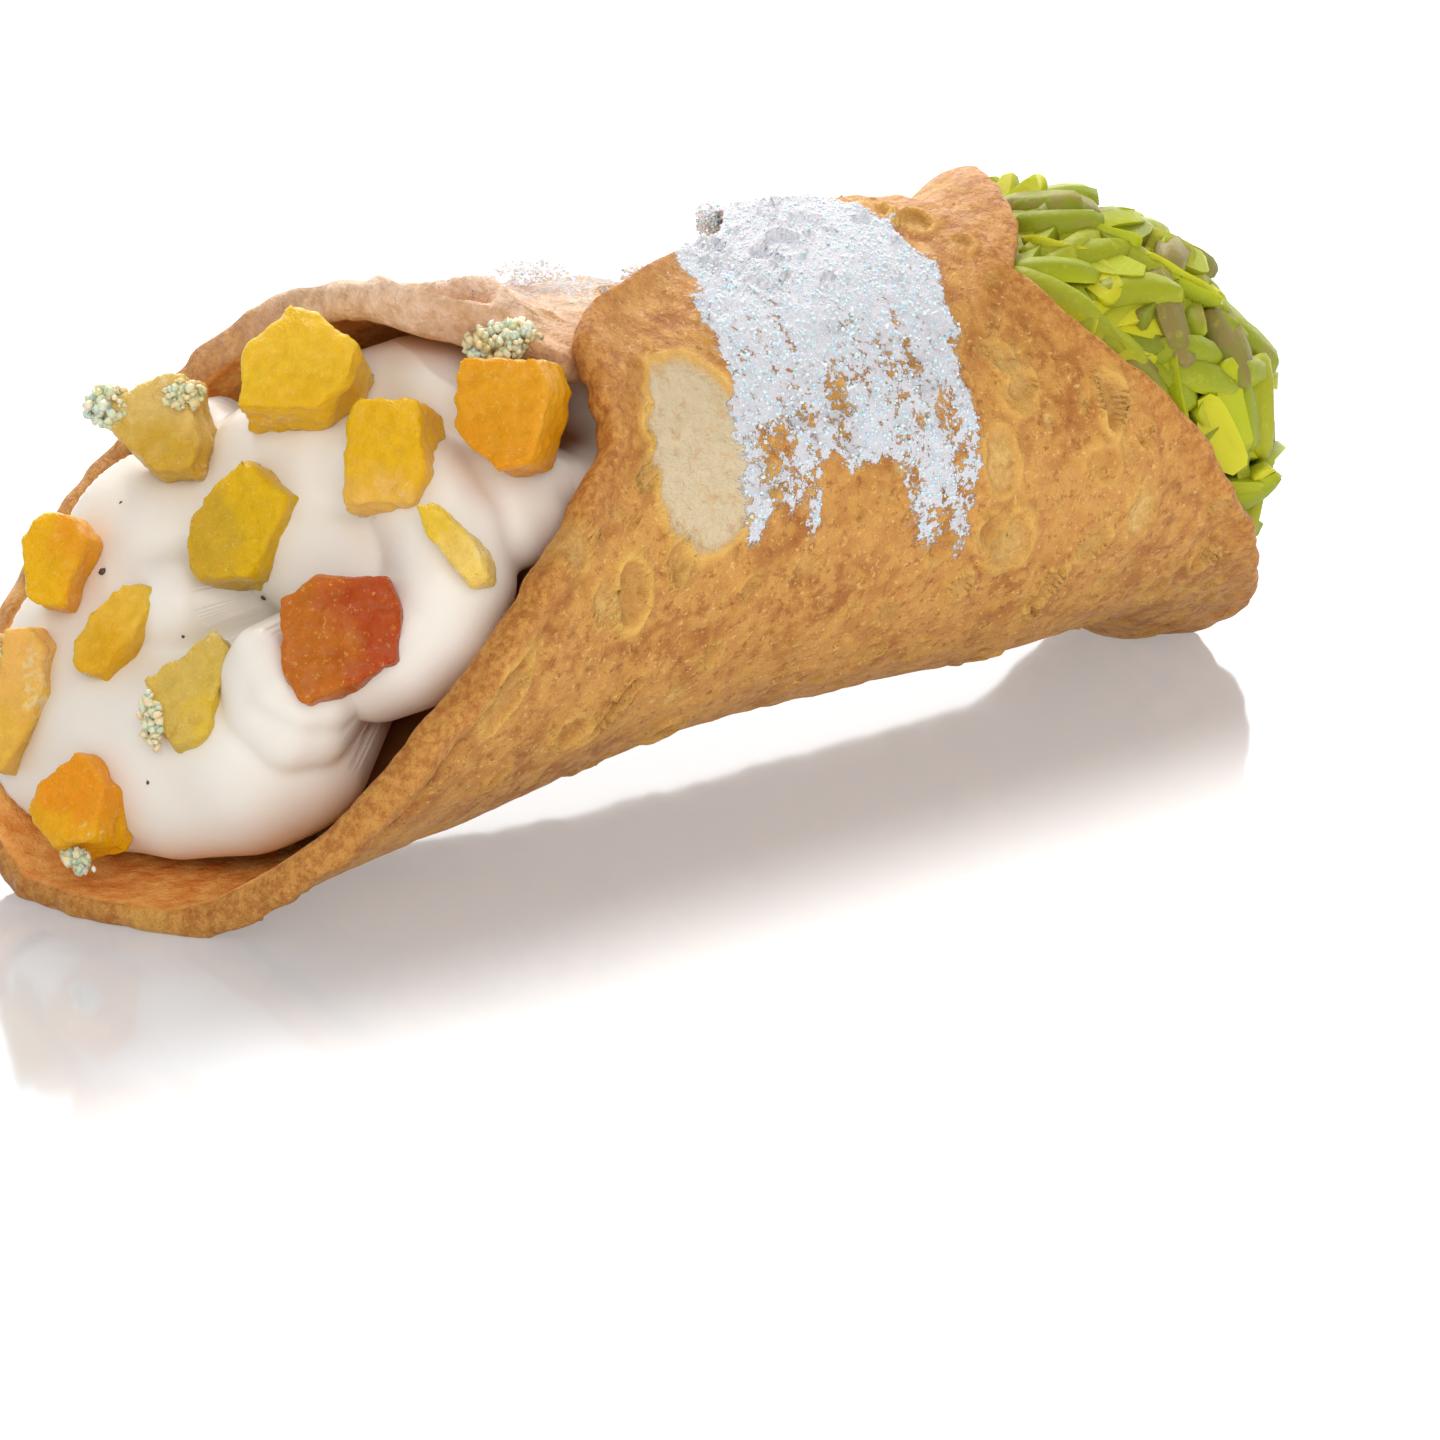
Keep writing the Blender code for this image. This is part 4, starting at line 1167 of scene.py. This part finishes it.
def sliver_shape():
    """A unit sliver along X: a cut stick, blunt or pointed, with one side of skin."""
    along = np.array([-1, -0.86, -0.55, -0.1, 0.4, 0.78, 1])
    width = np.array([0.38, 0.74, 0.94, 1.0, 0.97, 0.80, 0.46])
    side = np.array([(-1.0, -0.55), (-0.80, 0.60), (0.10, 1.0), (0.90, 0.55), (0.85, -0.70)])
    rows = np.stack([np.broadcast_to(along[:, None], (7, 5)), width[:, None] * side[:, 0],
                     width[:, None] * side[:, 1] - 0.25 * along[:, None] ** 2], -1)
    points = np.vstack([rows.reshape(-1, 3), [(-1.03, 0, -0.2), (1.03, 0, -0.2)]])
    numbers = np.arange(rows[..., 0].size).reshape(7, 5)
    closed = np.hstack([numbers, numbers[:, :1]])
    faces = grid_faces(closed)
    for tip, row in ((numbers.size, closed[0].tolist()), (numbers.size + 1, closed[-1].tolist())):
        faces += [(tip, a, b) for a, b in zip(row[:-1], row[1:])]
    skin = np.append(np.tile((side[:, 1] > 0.5).astype(float), 7), [0.4, 0.4])
    return points, faces, skin


def surface_normal(field, point):
    step = 0.3 * MM
    return np.array([field(point + step * axis) - field(point - step * axis)
                     for axis in np.eye(3)]) / (2 * step)


def make_slivers():
    """Pistachio slivers over the dome, in two layers that lie roughly along it."""
    rng = np.random.default_rng(51)
    shape, shape_faces, skin = sliver_shape()
    centre = np.array([30 * MM, 0, AXIS_HEIGHT])
    points, faces, tints = [], [], []
    for number in range(SLIVERS):
        share = (number + 0.5) / SLIVERS
        polar = np.degrees(np.arccos(1 - share * 1.02)) + rng.uniform(-3, 3)
        angle = (number * 137.5 + rng.uniform(-8, 8)) % 360 - 180
        way = ways(np.array(max(polar, 0.0)), np.array(angle), 1)
        depth = rng.uniform(0.7, 3.0) * MM
        spot = centre + way * (reach(centre, way[None], heap_field)[0] - depth)
        normal = surface_normal(heap_field, spot[None])[:, 0]
        normal = normal / np.linalg.norm(normal)
        flow = np.array([1.0, -0.15, -0.75]) + rng.normal(0, 0.7, 3)
        flow = flow - (flow @ normal) * normal
        flow = flow / np.linalg.norm(flow) + rng.uniform(-0.05, 0.28) * normal
        flow = flow / np.linalg.norm(flow)
        side = np.cross(normal, flow)
        side = side / np.linalg.norm(side)
        roll = rng.normal(0, 0.5)
        upward = np.cross(flow, side)
        side, upward = (side * np.cos(roll) + upward * np.sin(roll),
                        upward * np.cos(roll) - side * np.sin(roll))
        if rng.uniform() < 0.45:
            side, upward = -side, -upward
        half = np.array([rng.uniform(*SLIVER_LENGTHS), rng.uniform(*SLIVER_WIDTHS),
                         rng.uniform(*SLIVER_DEPTHS)]) / 2 * MM
        local = (shape + 0.025 * rng.normal(size=shape.shape)) * half
        local[:, 1] += rng.uniform(-0.9, 0.9) * MM * (shape[:, 0] ** 2)
        points.append(spot + local @ np.array([flow, side, upward]))
        faces += [tuple(v + number * len(shape) for v in face) for face in shape_faces]
        tints.append(np.full(len(shape), rng.uniform()))
    slivers = new_piece("pistachio_slivers", np.vstack(points), faces, pistachio_look(),
                        ["pistachio_coat"])
    slivers.data.set_sharp_from_angle(angle=np.radians(SLIVER_CORNER))
    set_attribute(slivers, "tint", np.concatenate(tints))
    set_attribute(slivers, "skin", np.tile(skin, SLIVERS))
    return slivers


# ---------------------------------------------------------------- stage

def make_floor():
    mesh = bpy.data.meshes.new("floor")
    half = 3.0
    mesh.from_pydata([(-half, -half, 0), (half, -half, 0), (half, half, 0), (-half, half, 0)],
                     [], [(0, 1, 2, 3)])
    mesh.materials.append(floor_look())
    floor = bpy.data.objects.new("floor", mesh)
    bpy.context.scene.collection.objects.link(floor)


def soft_light(name, place, width, height, power, mirrored=True, lighting=True):
    """A soft panel of light, aimed at the middle of the object.

    One that is not mirrored doesn't show in the floor; one that only shows there
    isn't lighting."""
    data = bpy.data.lights.new(name, "AREA")
    data.shape = "RECTANGLE"
    data.size = width
    data.size_y = height
    data.energy = power
    light = bpy.data.objects.new(name, data)
    light.location = place
    aim = Vector((0, 0, AXIS_HEIGHT)) - light.location
    light.rotation_euler = aim.to_track_quat("-Z", "Y").to_euler()
    light.visible_glossy = mirrored
    light.visible_diffuse = lighting
    bpy.context.scene.collection.objects.link(light)


def make_camera():
    bearing, height = np.radians(CAMERA_BEARING), np.radians(CAMERA_HEIGHT)
    back = Vector((np.sin(bearing) * np.cos(height), -np.cos(bearing) * np.cos(height),
                   np.sin(height)))
    data = bpy.data.cameras.new("camera")
    data.lens = LENS
    data.sensor_width = 36
    data.clip_start = 0.01
    camera = bpy.data.objects.new("camera", data)
    camera.location = AIM + back * CAMERA_DISTANCE
    camera.rotation_euler = back.to_track_quat("Z", "Y").to_euler()
    bpy.context.scene.collection.objects.link(camera)
    bpy.context.scene.camera = camera


def make_stage():
    make_floor()
    soft_light("key_behind", (0.30, 0.60, 0.90), 0.5, 0.5, 9.3)
    soft_light("front", (-0.55, -0.85, 0.70), 0.9, 0.6, 4.5)
    soft_light("panel_behind", (0.80, 1.03, 0.55), 1.1, 0.55, 7.0, mirrored=False)
    soft_light("white_wall", (0.84, 1.08, 0.55), 3.0, 1.1, 21, lighting=False)
    world = bpy.data.worlds.new("studio")
    world.use_nodes = True
    world.node_tree.nodes["Background"].inputs["Color"].default_value = (1, 1, 1, 1)
    world.node_tree.nodes["Background"].inputs["Strength"].default_value = 0.60
    bpy.context.scene.world = world
    bpy.context.scene.view_settings.view_transform = "Standard"
    make_camera()


make_stage()
make_shell()
make_cream()
for index, (centre, thickness, outline) in enumerate(FRUIT, start=1):
    make_fruit(index, centre, thickness, outline)
make_sugar()
make_frosting()
make_specks()
make_slivers()
